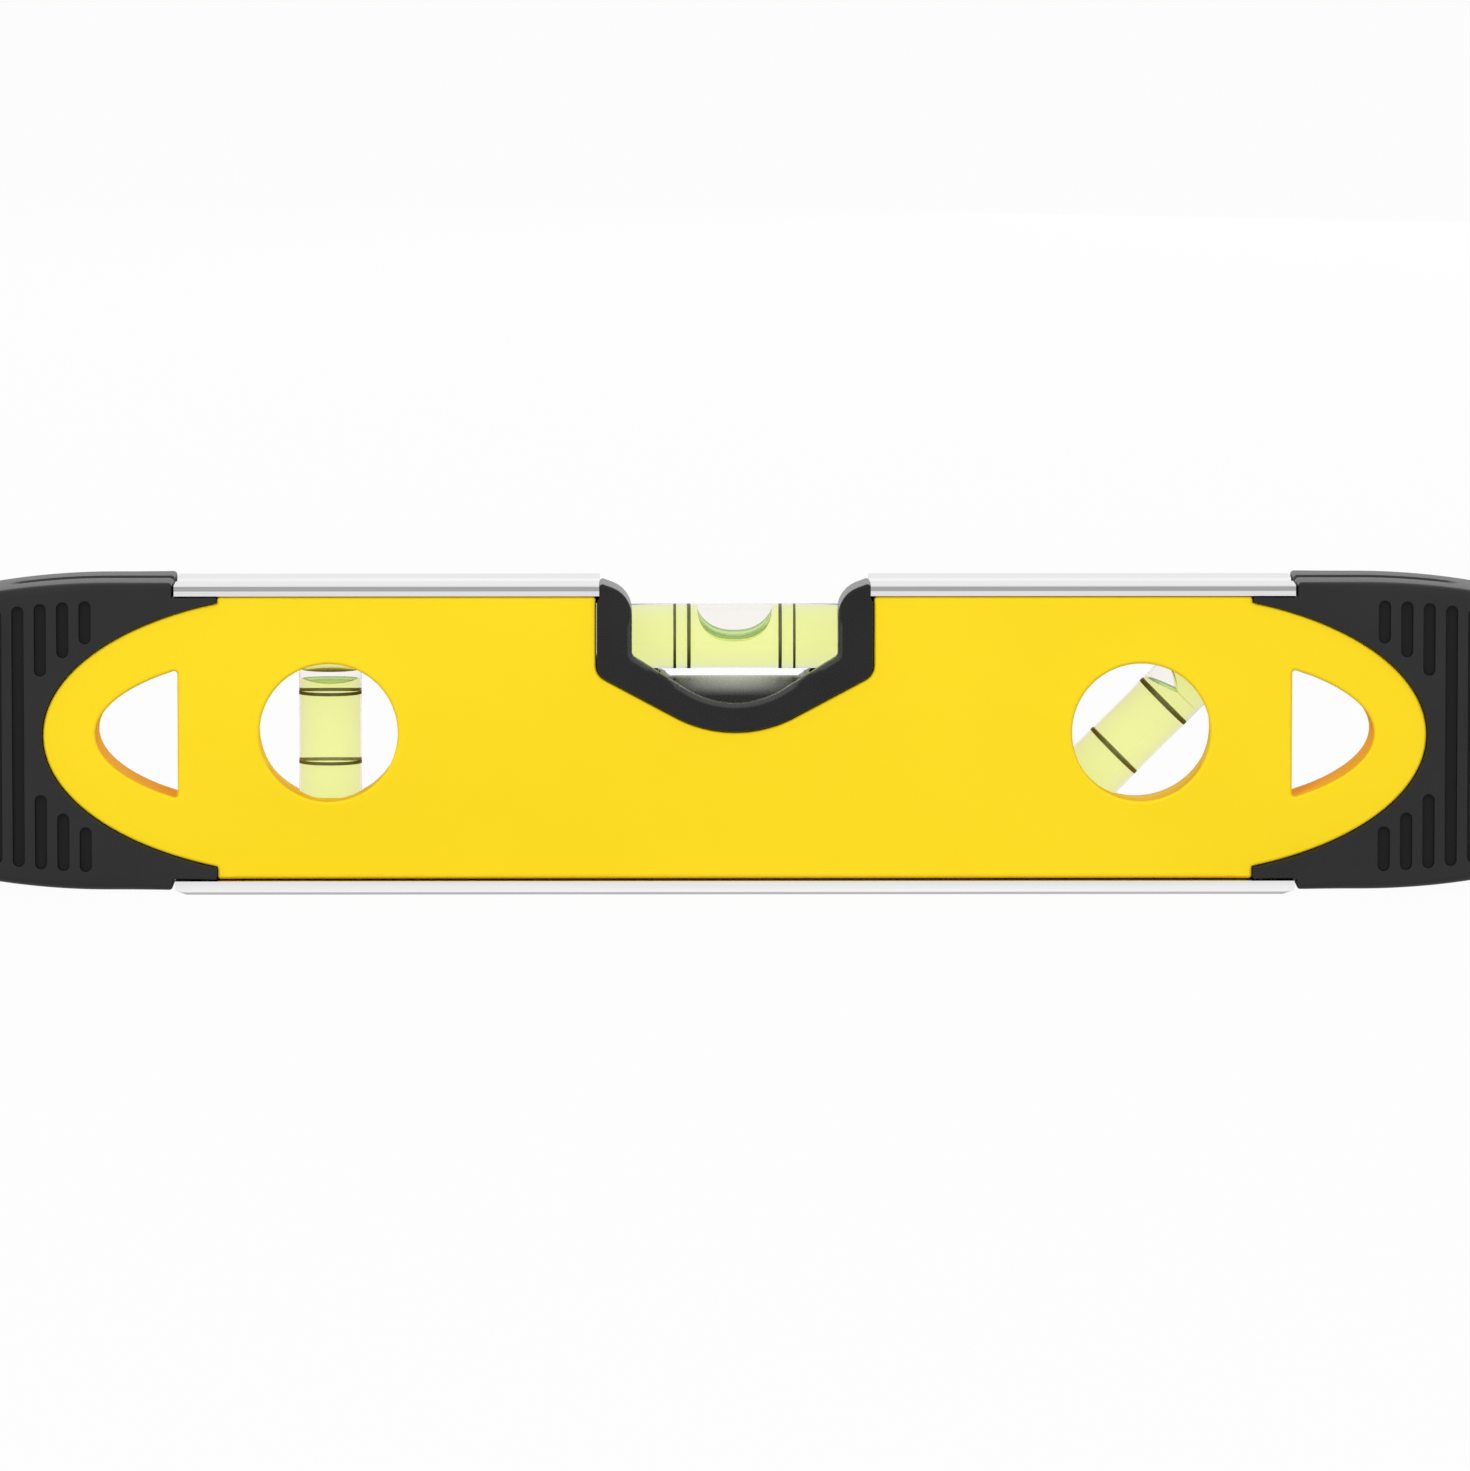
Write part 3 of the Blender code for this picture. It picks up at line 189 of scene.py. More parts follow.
# which points lie in a loop: those from which a line to the right crosses it an odd number of times
def insideLoop(points, loop):
    ahead = np.roll(loop, -1, 0)
    crossed = (loop[:, 1] > points[:, 1:]) != (ahead[:, 1] > points[:, 1:])
    rise = np.where(ahead[:, 1] == loop[:, 1], 1, ahead[:, 1] - loop[:, 1])
    meeting = loop[:, 0] + (points[:, 1:] - loop[:, 1]) * (ahead[:, 0] - loop[:, 0]) / rise
    return (crossed & (points[:, :1] < meeting)).sum(1) % 2 == 1


# fills the space between an outer loop and the holes in it with triangles on an even grid of points,
# whose depth comes from the given function of place; those with their middle in a hole are left out
def facePatch(loops, depthAt, gap=None):
    points = np.concatenate(loops)
    if gap:
        low, high = loops[0].min(0), loops[0].max(0)
        across, up = np.meshgrid(np.arange(low[0], high[0], gap), np.arange(low[1], high[1], gap))
        grid = np.column_stack((across.ravel(), up.ravel()))
        room = gap / 3
        keep = insideLoop(grid, inset(loops[0], room))
        for hole in loops[1:]:
            keep &= ~insideLoop(grid, inset(hole, -room))
        points = np.concatenate((points, grid[keep]))
    starts = np.cumsum([0] + [len(loop) for loop in loops])
    edges = [np.column_stack((np.arange(len(loop)), np.roll(np.arange(len(loop)), -1))) + start
             for loop, start in zip(loops, starts)]
    flat = [Vector(point) for point in (points / mm).tolist()]
    insideOnly = 1
    found = delaunay_2d_cdt(flat, np.concatenate(edges).tolist(), [], insideOnly, weld)
    place, faces = np.array(found[0]) * mm, np.array(found[2])
    keep = np.full(len(faces), True)
    for hole in loops[1:]:
        keep &= ~insideLoop(place[faces].mean(1), hole)
    depth = depthAt(place) if callable(depthAt) else depthAt
    return ring(place, depth), faces[keep]


# flat end of a grid whose rows stand across the level
def endPatch(row):
    points, cells = facePatch([row[:, 1:]], row[0, 0])
    return points[:, [1, 0, 2]], cells


# turns a profile of (radius, height) about an axis: a grid of heights by angles
def turnedGrid(profile, origin, axis, count):
    axis = np.array(axis) / np.linalg.norm(axis)
    across = np.array((0.0, 1.0, 0.0))
    up = np.cross(axis, across)
    angle = np.linspace(0, 2 * np.pi, count, endpoint=False)
    spokes = np.outer(np.cos(angle), across) + np.outer(np.sin(angle), up)
    profile = np.asarray(profile, float)
    return np.array(origin) + profile[:, :1, None] * spokes + profile[:, 1:, None] * axis


# joins patches into one closed mesh: doubles merged, faces turned outwards, soft below the angle
def makeMesh(name, patches, angle=softAngle):
    starts = np.cumsum([0] + [len(points) for points, cells in patches])
    points = np.concatenate([points for points, cells in patches])
    faces = [face for start, (_, cells) in zip(starts, patches) for face in (cells + start).tolist()]
    mesh = bpy.data.meshes.new(name)
    mesh.from_pydata(points.tolist(), [], faces)
    shape = bmesh.new()
    shape.from_mesh(mesh)
    bmesh.ops.remove_doubles(shape, verts=shape.verts, dist=weld)
    bmesh.ops.recalc_face_normals(shape, faces=shape.faces)
    openEdges = sum(not edge.is_manifold for edge in shape.edges)
    if openEdges:
        print("  note:", name, "has", openEdges, "open edges")
    shape.to_mesh(mesh)
    shape.free()
    mesh.shade_smooth()
    mesh.set_sharp_from_angle(angle=np.radians(angle))
    return mesh


def addObject(name, mesh):
    piece = bpy.data.objects.new(name, mesh)
    bpy.context.scene.collection.objects.link(piece)
    return piece


# a finished piece that stands for CAD nodes and moves with a body
def makePiece(name, patches, finish, slot, nodes, body="level", angle=softAngle):
    piece = addObject(name, makeMesh(name, patches, angle))
    piece.data.materials.append(finish)
    if body:
        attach(piece, body)
    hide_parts(*nodes)
    piece.visible_shadow = slot not in clearSlots
    return piece


# cuts closed patches out of a piece and keeps the result as its mesh
def cutAway(piece, patches):
    cutter = addObject("cutter", makeMesh("cutter", patches))
    modifier = piece.modifiers.new("cut", "BOOLEAN")
    modifier.object = cutter
    modifier.operation = "DIFFERENCE"
    modifier.solver = "EXACT"
    cut = bpy.data.meshes.new_from_object(piece.evaluated_get(bpy.context.evaluated_depsgraph_get()))
    piece.modifiers.remove(modifier)
    piece.data = cut
    cut.shade_smooth()
    cut.set_sharp_from_angle(angle=np.radians(softAngle))
    bpy.data.objects.remove(cutter)


# cuts a cylinder out of a piece, as long to either side of its origin
def cutBore(piece, radius, half, origin, axis):
    profile = [(0, -half), (radius, -half), (radius, half), (0, half)]
    cutAway(piece, [gridPatch(turnedGrid(profile, origin, axis, boreSteps))])


def pointsOf(piece):
    place = np.empty(len(piece.data.vertices) * 3)
    piece.data.vertices.foreach_get("co", place)
    return place.reshape(-1, 3)


# a value for each point of a piece, for its finish to read
def markPoints(piece, name, values):
    mark = piece.data.attributes.new(name, "FLOAT", "POINT")
    mark.data.foreach_set("value", np.asarray(values, np.float32))


# finishes
cloudSpan = (0.3, 0.7)       # shares of a noise between which its two tones meet
streakSpan = (0.25, 0.75)


# fills inputs of a node: another node's output is linked, anything else becomes the input's own value
def fill(tree, node, inputs):
    for name, value in inputs.items():
        if isinstance(value, bpy.types.NodeSocket):
            tree.links.new(value, node.inputs[name])
        else:
            node.inputs[name].default_value = value


def addNode(tree, kind, inputs=None):
    node = tree.nodes.new(f"ShaderNode{kind}")
    fill(tree, node, inputs or {})
    return node


def newFinish(name):
    finish = bpy.data.materials.new(name)
    finish.use_nodes = True
    return finish, finish.node_tree, finish.node_tree.nodes["Principled BSDF"]


# noise on Object coordinates; the stretch scales each axis, so a small one draws the grain out along it
def addNoise(tree, scale, detail, stretch=(1, 1, 1)):
    place = addNode(tree, "TexCoord").outputs["Object"]
    mapped = addNode(tree, "Mapping", {"Scale": stretch, "Vector": place}).outputs["Vector"]
    return addNode(tree, "TexNoise", {"Scale": scale, "Detail": detail, "Vector": mapped}).outputs["Fac"]


# colour ramp with a tone at each of its stops
def addTones(tree, fac, stops):
    ramp = addNode(tree, "ValToRGB", {"Fac": fac})
    elements = ramp.color_ramp.elements
    while len(elements) < len(stops):
        elements.new(0.5)
    for element, (place, colour) in zip(elements, stops):
        element.position = place
        element.color = (*colour, 1)
    return ramp.outputs["Color"]


def addRange(tree, fac, low, high):
    return addNode(tree, "MapRange", {"To Min": low, "To Max": high, "Value": fac}).outputs["Result"]


def addBump(tree, height, strength, distance):
    inputs = {"Strength": strength, "Distance": distance, "Height": height}
    return addNode(tree, "Bump", inputs).outputs["Normal"]


# two colours mixed or multiplied
def addBlend(tree, kind, first, second, share=1):
    mix = addNode(tree, "Mix")
    mix.data_type = "RGBA"
    mix.blend_type = kind
    fill(tree, mix, {0: share, 6: first, 7: second})
    return mix.outputs[2]


# a value that the points of a piece carry
def addMark(tree, name):
    mark = addNode(tree, "Attribute")
    mark.attribute_name = name
    return mark.outputs["Fac"]


# moulded plastic or grip: slow tone change, fine grain in the roughness and the bump; the mark attribute
# brings in a second tone of painted light and shade: painted shade on the floors of the grip's slots and,
# a deeper orange, on the walls of the body's holes, which the light reaches by way of more yellow, and
# along its foot; a painted pool of light on the bezel's saddle and a painted highlight on its rim's inner
# edge
def mouldedFinish(name, dark, light, cloudScale, roughness, specular, grainScale, grainStrength, grainDepth,
                  paintedTone=None):
    finish, tree, shader = newFinish(name)
    slow = addNoise(tree, cloudScale, detail=3)
    grain = addNoise(tree, grainScale, detail=3)
    tones = addTones(tree, slow, tuple(zip(cloudSpan, (dark, light))))
    fill(tree, shader, {"Specular IOR Level": specular})
    if paintedTone:
        mark = addMark(tree, "mark")
        tones = addBlend(tree, "MIX", tones, (*paintedTone, 1), mark)
        fill(tree, shader, {"Specular IOR Level": addRange(tree, mark, specular, specular / 2)})
    fill(tree, shader, {
        "Base Color": tones,
        "Roughness": addRange(tree, grain, *roughness),
        "Normal": addBump(tree, grain, grainStrength, grainDepth),
    })
    return finish


# yellow moulding: its second tone is painted shade, a deeper orange for the walls of the holes and the foot
yellowMoulding = mouldedFinish(
    "yellowMoulding", dark=(0.955, 0.695, 0.010), light=(0.985, 0.720, 0.013), cloudScale=28,
    roughness=(0.58, 0.72), specular=0.25, paintedTone=(0.93, 0.53, 0.004),
    grainScale=5200, grainStrength=0.05, grainDepth=0.03 * mm)
# black grip: its second tone is painted shade in the slots
blackGrip = mouldedFinish(
    "blackGrip", dark=(0.012, 0.012, 0.012), light=(0.017, 0.017, 0.017), cloudScale=60,
    roughness=(0.34, 0.48), specular=0.25, paintedTone=(0.0102, 0.0102, 0.0102),
    grainScale=3600, grainStrength=0.25, grainDepth=0.05 * mm)
# black moulding: its second tone is painted light, a pool of light on the saddle and a highlight on the rim's
# inner edge
blackMoulding = mouldedFinish(
    "blackMoulding", dark=(0.008, 0.008, 0.009), light=(0.012, 0.012, 0.013), cloudScale=90,
    roughness=(0.22, 0.32), specular=0.22, paintedTone=(0.42, 0.42, 0.42),
    grainScale=4200, grainStrength=0.12, grainDepth=0.04 * mm)


# extruded aluminium: grain drawn out along the rail in roughness, bump and, a little, in tone; the tone
# attribute that the rail's section carries sets apart its lands, the groove and the rolled bands by painted
# light and shade: a lit groove shaded at its apex, a dark reflection in the bands, a pale one on the base
# rail's sides and shade at its foot
def railFinish(name, dark, light, streak, stretch, roughness, streakScale, streakStrength, streakDepth):
    finish, tree, shader = newFinish(name)
    grain = addNoise(tree, streakScale, detail=4, stretch=stretch)
    tones = addTones(tree, addMark(tree, "tone"), ((0, dark), (1, light)))
    streaks = addTones(tree, grain, tuple(zip(streakSpan, (streak, light))))
    fill(tree, shader, {
        "Base Color": addBlend(tree, "MULTIPLY", tones, streaks),
        "Roughness": addRange(tree, grain, *roughness),
        "Metallic": 1,
        "Normal": addBump(tree, grain, streakStrength, streakDepth),
    })
    return finish


extrudedAluminium = railFinish(
    "extrudedAluminium", dark=(0, 0, 0), light=(1, 1, 1), streak=(0.93, 0.93, 0.93), stretch=(0.012, 1, 1),
    roughness=(0.22, 0.40), streakScale=2400, streakStrength=0.08, streakDepth=0.03 * mm)


# clear acrylic: light passes and bends; a faint slow ripple in the gloss
def clearFinish(name, tint, ior, roughness, rippleScale):
    finish, tree, shader = newFinish(name)
    gloss = addRange(tree, addNoise(tree, rippleScale, detail=2), *roughness)
    fill(tree, shader, {"Base Color": (*tint, 1), "Transmission Weight": 1, "IOR": ior, "Roughness": gloss})
    return finish


# the liquid bends light no more than the acrylic round it, and takes blue out along the way; a small
# share of it isn't clear, as the dye glows a little
def liquidFinish(name, base, clear, colour, density):
    finish, tree, shader = newFinish(name)
    fill(tree, shader, {"Base Color": (*base, 1), "Transmission Weight": clear, "IOR": 1, "Roughness": 0})
    absorb = addNode(tree, "VolumeAbsorption", {"Color": (*colour, 1), "Density": density})
    fill(tree, tree.nodes["Material Output"], {"Volume": absorb.outputs["Volume"]})
    return finish


# air among liquid and acrylic: its index is a little under theirs; the skirt attribute, which goes from
# 0 where the bubble leaves the bore to 1 at its lowest, gives its edge dark lines with bands between:
# painted refraction, standing in for the light that the meniscus bends and reflects
def airFinish(name, ior, skirt, **tones):
    finish, tree, shader = newFinish(name)
    colour = addTones(tree, addMark(tree, "skirt"), [(place, tones[tone]) for place, tone in skirt])
    glass = addNode(tree, "BsdfGlass", {"IOR": ior, "Roughness": 0, "Color": colour})
    fill(tree, tree.nodes["Material Output"], {"Surface": glass.outputs["BSDF"]})
    tree.nodes.remove(shader)
    return finish


clearAcrylic = clearFinish(
    "clearAcrylic", tint=(0.98, 0.98, 0.95), ior=1.18, roughness=(0.0, 0.04), rippleScale=300)
greenLiquid = liquidFinish(
    "greenLiquid", base=(0.95, 0.98, 0.66), clear=0.90, colour=(0.965, 0.98, 0.57), density=185)
bubbleAir = airFinish(
    "bubbleAir", ior=0.95, air=(0.985, 0.965, 0.960), band=(0.70, 0.85, 0.60), pale=(0.86, 0.95, 0.68),
    line=(0.44, 0.60, 0.40),
    skirt=((0.0, "air"), (0.03, "line"), (0.14, "line"), (0.25, "band"), (0.40, "band"), (0.48, "line"),
           (0.58, "line"), (0.68, "pale"), (0.86, "pale"), (0.93, "line"), (1.0, "line")))
lineInk = mouldedFinish(
    "lineInk", dark=(0.075, 0.080, 0.018), light=(0.115, 0.120, 0.030), cloudScale=900,
    roughness=(0.4, 0.6), specular=0.4, grainScale=6000, grainStrength=0.1, grainDepth=0.01 * mm)
print("finishes ready")


# window bezel; the body's notch shares its outline
bezel = {
    **lengths(wall=5.2, neck=0.35, outerRadius=18.5, outerCorner=2.5, innerRadius=13.7, innerCorner=1.0,
              outlineStep=0.8, shoulderRound=4.4, armRound=0.5, neckLow=0.9, neckHigh=0.1, neckRound=0.6,
              outerEdge=0.4, innerEdge=1.0, facePad=0.04, thinnest=1.5, elbowRoom=2, rim=2.8,
              # the next two values give the reach and half width of the saddle's painted pool of light
              rubReach=6.0, rubHalf=9.0, edgeWide=0.9, edgeSunk=0.12,
              saddleRadius=9.0, seatRadius=5.05, seatHalf=18.9),
    "half": bezelHigh.x, "bottom": bezelLow.z, "top": bezelHigh.z,
    # the last value here is the strength of the painted highlight on the rim's inner edge
    "innerBottom": level["top"] - 17.5 * mm, "ridge": level["top"] - 14.3 * mm, "paintedEdgeLight": 0.09,
    "outerSlope": 28.1, "innerSlope": 32, "shoulderSlope": 20, "bowlSteps": 41, "saddleSteps": 17,
}


# U-shaped curve from its right elbow to its left: a corner, a slope and a round bottom on each side
def uCurve(half, slope, bottom, radius, corner):
    angle = np.radians(slope)
    centre = bottom + radius
    tangentX = radius * np.sin(angle)
    elbow = centre - radius * np.cos(angle) + (half - tangentX) * np.tan(angle)
    bowl = ellipseArc((0, centre), (radius, radius), slope - 90, -90 - slope, bezel["bowlSteps"])
    return np.concatenate(([[half, elbow, corner]], plainCorners(bowl), [[-half, elbow, corner]]))


# body halves
body = {
    **lengths(noseLength=41.6, noseEnd=12.8, noseLift=0.4, noseOverrun=0.45, tipRound=0.5, edge=0.42,
              footEdge=0.75, footReach=0.1, footStop=1.2, facePad=0.05, notchGap=0.15, outlineStep=1.5,
              faceStep=1.6, sightRadius=10.2, holeEdge=0.5, sightDraft=-0.3, hangDraft=0.1, hangEnd=7.8,
              hangSide=8.7, hangLength=12.1, hangCorner=0.45, hangDrop=0.2, hangStep=0.6, swellHeight=0.5,
              flange=2.2, flangeHalf=2.0, troughTop=2.0, troughBottom=1.4, troughHalf=2.8, boreGap=0.25),
    "top": bodyHigh.z + 0.15 * mm, "bottom": bodyLow.z - 0.25 * mm, "face": level["halfDepth"] - 0.6 * mm,
    "tip": capLow.x - level["clearance"], "swellRadii": (20 * mm, 16 * mm), "flangeSweep": 50,
    "arcSteps": 121, "hangSteps": 61,
}
body["noseX"] = level["halfLength"] - body["noseEnd"] - body["noseLength"]
body["noseZ"] = (bodyHigh.z + bodyLow.z) / 2 + body["noseLift"]
body["noseHalf"] = (bodyHigh.z - bodyLow.z) / 2 + body["noseOverrun"]
sightX = slantLow.x / 2 + slantHigh.x / 2
sightZ = slantLow.z / 2 + slantHigh.z / 2

# the two vials in the sight holes; the body's cradles are bored for them
sideVial = {
    **lengths(radius=4.65, length=31.0, bore=3.75, endWall=0.6, endRound=0.4, lines=10.3, lineWidth=0.5,
              rimStart=0.15),
    "rimSkirt": 0.08, "skinSteps": 24,
    "plumb": {**lengths(settle=6.35, dome=0.8, top=8.9, apex=0, rimEnd=0.4), "hand": -1, "axis": (0, 0, 1),
              "tilt": 0, "shade": 1.0, "fall": 0.03 / mm, "deepFall": 0.03 / mm},
    "slant": {**lengths(settle=7.4, dome=0.3, top=9.7, apex=3.0, rimEnd=0), "hand": 1, "axis": (1, 0, 1),
              "tilt": -24, "shade": 0.34, "fall": 0.16 / mm, "deepFall": 0.03 / mm},
}


# the nose ellipse, grown by a gap, as far as a place along the level
def noseArc(reach, grow=0.0):
    radii = (body["noseLength"] + grow, body["noseHalf"] + grow)
    sweep = np.degrees(np.arccos((reach - body["noseX"]) / radii[0]))
    return ellipseArc((body["noseX"], body["noseZ"]), radii, -sweep, sweep, body["arcSteps"])


# angle of each point of an outline about the middle of the nose, measured as on its ellipse
def noseBend(outline):
    up = (outline[:, 1] - body["noseZ"]) / body["noseHalf"]
    return np.degrees(np.arctan2(up, (np.abs(outline[:, 0]) - body["noseX"]) / body["noseLength"]))


def mirrorCorners(corners):
    return np.asarray(corners)[::-1] * (-1, 1, 1)


# body outline: the right nose between its two tips, the top with the bezel's notch, the left nose mirrored
def bodyOutline():
    tip, top, tipRound, gap = body["tip"], body["top"], body["tipRound"], body["notchGap"]
    nose = plainCorners(noseArc(tip))
    right = np.concatenate(([[tip, body["bottom"], tipRound]], nose, [[tip, top, tipRound]]))
    edge = bezel["half"] + gap
    notch = uCurve(edge, bezel["outerSlope"], bezel["bottom"] - gap, bezel["outerRadius"] + gap,
                   bezel["outerCorner"])
    middle = np.concatenate(([[edge, top, tipRound]], notch, [[-edge, top, tipRound]]))
    corners = np.concatenate((right, middle, mirrorCorners(right)))
    return splitEdges(roundedOutline(corners), body["outlineStep"])


# three-sided hang hole: an ellipse inside the nose's, cut off by an upright side; the points beside its
# two corners make way for their rounding
def hangOutline(hand):
    radii = (body["noseLength"] - body["hangEnd"], body["noseHalf"] - body["hangSide"])
    sweep = np.degrees(np.arccos((radii[0] - body["hangLength"]) / radii[0]))
    centre = (body["noseX"], sightZ - body["hangDrop"])
    side = plainCorners(ellipseArc(centre, radii, -sweep, sweep, body["hangSteps"]))
    side[[0, -1], 2] = body["hangCorner"]
    side = np.delete(side, [1, 2, 3, -4, -3, -2], 0)
    path = splitEdges(roundedOutline(side), body["hangStep"])
    return path if hand > 0 else path[::-1] * (-1, 1)


# how far the face stands out round the sight holes: (1 - r2) squared inside an ellipse, r2 being the
# squared distance from its centre in radii
def swellAt(place):
    across = (np.abs(place[:, 0]) - sightX) / body["swellRadii"][0]
    up = (place[:, 1] - sightZ) / body["swellRadii"][1]
    return body["swellHeight"] * unit(1 - across ** 2 - up ** 2) ** 2


# body half: rings from the parting to the face's edge, the swelling face, and the walls of the holes
def makeBody(name, node, side):
    face, parting, flangeHalf, edge = body["face"], level["parting"], body["flangeHalf"], body["holeEdge"]
    outline = bodyOutline()
    along = np.abs(outline[:, 0])
    onNose = (along > body["tip"]) & (np.abs(noseBend(outline)) < body["flangeSweep"])
    underRail = along < body["tip"] + hair

    # wall of the outline from the parting outwards; the troughs under the rails hold down its top and
    # hold up its bottom
    def wall(depth, flange=False):
        path = inset(outline, -body["flange"] * onNose) if flange else outline.copy()
        ceiling = body["top"] - max(0, body["troughTop"] - grooveSlope * depth)
        floor = body["bottom"] + max(0, body["troughBottom"] - grooveSlope * depth)
        path[:, 1] = np.where(underRail, np.clip(path[:, 1], floor, ceiling), path[:, 1])
        return ring(path, side * depth)

    def faceAt(place):
        return face + swellAt(place)

    rings = [wall(parting, True), wall(flangeHalf, True)]
    rings += [wall(depth) for depth in (flangeHalf, body["troughHalf"], face / 2)]
    atFoot = (outline[:, 1] < body["bottom"] + body["footReach"]) & (along < body["tip"] - body["footStop"])
    radius = smoothAlong(np.where(atFoot, body["footEdge"], body["edge"]), edgeBlend)
    rings += easedRings(outline, radius, face, side)[::-1]
    inner = inset(outline, radius + body["facePad"])
    rings.append(ring(inner, side * face))
    patches = [gridPatch(rings)]

    # holes: a rounded edge on the face and a wall that leans a little on its way to the parting
    relief = level["rearRelief"] if side > 0 else 0
    loops, backLoops, holes = [inner], [rings[0][:, [0, 2]]], []
    for hand in (-1, 1):
        radii = (body["sightRadius"], body["sightRadius"])
        sight = ellipseArc((hand * sightX, sightZ), radii, 0, 360, body["arcSteps"])[:-1]
        for hole, draft in ((sight, body["sightDraft"]), (hangOutline(hand), body["hangDraft"])):
            hole = inset(hole, -relief)
            outer = inset(hole, -edge - body["facePad"])
            back = inset(hole, draft)
            rows = easedRings(hole, -edge, faceAt, side)
            patches.append(gridPatch([ring(outer, side * faceAt(outer)), *rows, ring(back, side * parting)]))
            loops.append(outer)
            backLoops.append(back)
            holes.append(inset(hole, -near))
    patches.append(facePatch(loops, lambda place: side * faceAt(place), body["faceStep"]))
    patches.append(facePatch(backLoops, side * parting))
    piece = makePiece(name, patches, yellowMoulding, "yellow_moulding", [node])
    radius, half = sideVial["radius"] + body["boreGap"], sideVial["length"] / 2 + body["boreGap"]
    for values in (sideVial["plumb"], sideVial["slant"]):
        cutBore(piece, radius, half, (values["hand"] * sightX, 0, sightZ), values["axis"])
    # painted shade: points on the walls of the holes and along the foot edge take the deeper orange second
    # tone
    place = pointsOf(piece)
    inHole = np.any([insideLoop(place[:, [0, 2]], hole) for hole in holes], 0)
    inHole &= np.abs(place[:, 1]) < face - edge / 2
    markPoints(piece, "mark", inHole | (place[:, 2] < body["bottom"] + body["footEdge"] / 2))


makeBody("yellowHalfFront", "body_front", -1)
makeBody("yellowHalfRear", "body_rear", 1)
print("body halves made")


# rails
rail = {
    **lengths(topLip=1.6, baseLip=2.0, troughWall=1.4, troughRound=0.3, lipRound=0.12, edge=0.12,
              grooveEdge=0.15, apex=0.2, apexReach=1.4, bandTop=0.2, bandWidth=0.6, bandDepth=0.06,
              bandEdge=0.05, footBand=0.32, footStep=0.1, easeRun=1.7, easeRise=0.6, sectionStep=1.5),
    # these tones, all but the lands', are painted light and shade: a lit groove, shade at its apex, dark and
    # pale reflections on the sides, shade at the foot
    "landTone": 0.79, "paintedGrooveLight": 0.94, "paintedApexShade": 0.62, "paintedBandReflection": 0.40, "paintedFootShade": 0.50,
    "paintedSideReflection": 0.97, "lengthSteps": 41, "cornerSteps": 5,
}


# end caps
cap = {
    **lengths(noseGap=0.1, taperLength=22.5, taperRadius=108, corner=4.5, stepRound=0.6, footRound=0.15,
              tipRound=0.2, edge=1.2, noseEdge=0.35, edgeRun=4, endRun=10, facePad=0.05, outlineStep=1.0,
              grooveEnd=8.1, grooveRun=1.2, grooveHalf=2.2, flangeRun=0.5, middleRun=0.2,
              troughGap=0.1, troughHalf=4, troughLead=1, slotWidth=1.7, slotPitch=3.3, slotDepth=1.0,
              slotFirst=5.9, slotEnd=2.7, slotNose=4.5, slotEdge=0.15, slotPad=0.03, slotStep=1.2),
    "top": capHigh.z, "bottom": capLow.z, "step": level["railEnd"] + level["clearance"],
    "tip": body["tip"] + 0.1 * mm, "tipShare": 0.25, "edgeBlend": 3, "flangeTurn": 1, "arcSteps": 25,
    "slotArcSteps": 17, "slotEdgeSteps": 5, "longSlots": 2, "shortSlots": 3,
}


# height of the cap's top edge: level, then falling along an arc towards the end
def capHeight(x):
    run = np.maximum(x - (level["halfLength"] - cap["taperLength"]), 0)
    return cap["top"] - cap["taperRadius"] + np.sqrt(cap["taperRadius"] ** 2 - run ** 2)


# cap outline: the end, where each corner's arc touches the taper's from inside, so that their centres are
# apart by the difference of the radii; then the step towards the rail, and the nose
def capOutline():
    corner, taper, count = cap["corner"], cap["taperRadius"], cap["arcSteps"]
    taperX, taperZ = level["halfLength"] - cap["taperLength"], cap["top"] - taper
    cornerX = level["halfLength"] - corner
    rise = np.sqrt((taper - corner) ** 2 - (cornerX - taperX) ** 2)
    turn = np.degrees(np.arctan2(rise, cornerX - taperX))
    upper = np.concatenate((ellipseArc((cornerX, taperZ + rise), (corner, corner), 0, turn, count),
                            ellipseArc((taperX, taperZ), (taper, taper), turn, 90, count)[1:]))
    lower = upper[::-1] * (1, -1) + (0, cap["top"] + cap["bottom"])
    nose = noseArc(cap["tip"], cap["noseGap"])[::-1]
    step = [[cap["step"], cap["top"], cap["stepRound"]], [cap["step"], body["top"], cap["footRound"]],
            [cap["tip"], body["top"], cap["tipRound"]]]
    foot = [[cap["tip"], body["bottom"], cap["tipRound"]], [cap["step"], body["bottom"], cap["footRound"]],
            [cap["step"], cap["bottom"], cap["stepRound"]]]
    end = plainCorners(np.concatenate((lower, upper)))
    corners = np.concatenate((foot, end, step, plainCorners(nose)))
    return splitEdges(roundedOutline(corners), cap["outlineStep"])


# grip slot: two straight sides joined by half circles
def slotOutline(x, low, high):
    radius, count = cap["slotWidth"] / 2, cap["slotArcSteps"]
    top = ellipseArc((x, high - radius), (radius, radius), 0, 180, count)
    bottom = ellipseArc((x, low + radius), (radius, radius), 180, 360, count)
    return splitEdges(np.concatenate((top, bottom)), cap["slotStep"])


# long slots at the end, then pairs of short ones that stop where an ellipse round the nose meets them
def slotOutlines():
    outlines = []
    for column in range(cap["longSlots"] + cap["shortSlots"]):
        x = level["halfLength"] - cap["slotFirst"] - column * cap["slotPitch"]
        high = capHeight(x) - cap["slotEnd"]
        low = cap["top"] + cap["bottom"] - high
        if column < cap["longSlots"]:
            outlines.append(slotOutline(x, low, high))
        else:
            across = (x - body["noseX"]) / (body["noseLength"] + cap["slotNose"])
            reach = body["noseHalf"] * np.sqrt(1 - across ** 2)
            outlines.append(slotOutline(x, body["noseZ"] + reach, high))
            outlines.append(slotOutline(x, low, body["noseZ"] - reach))
    return outlines


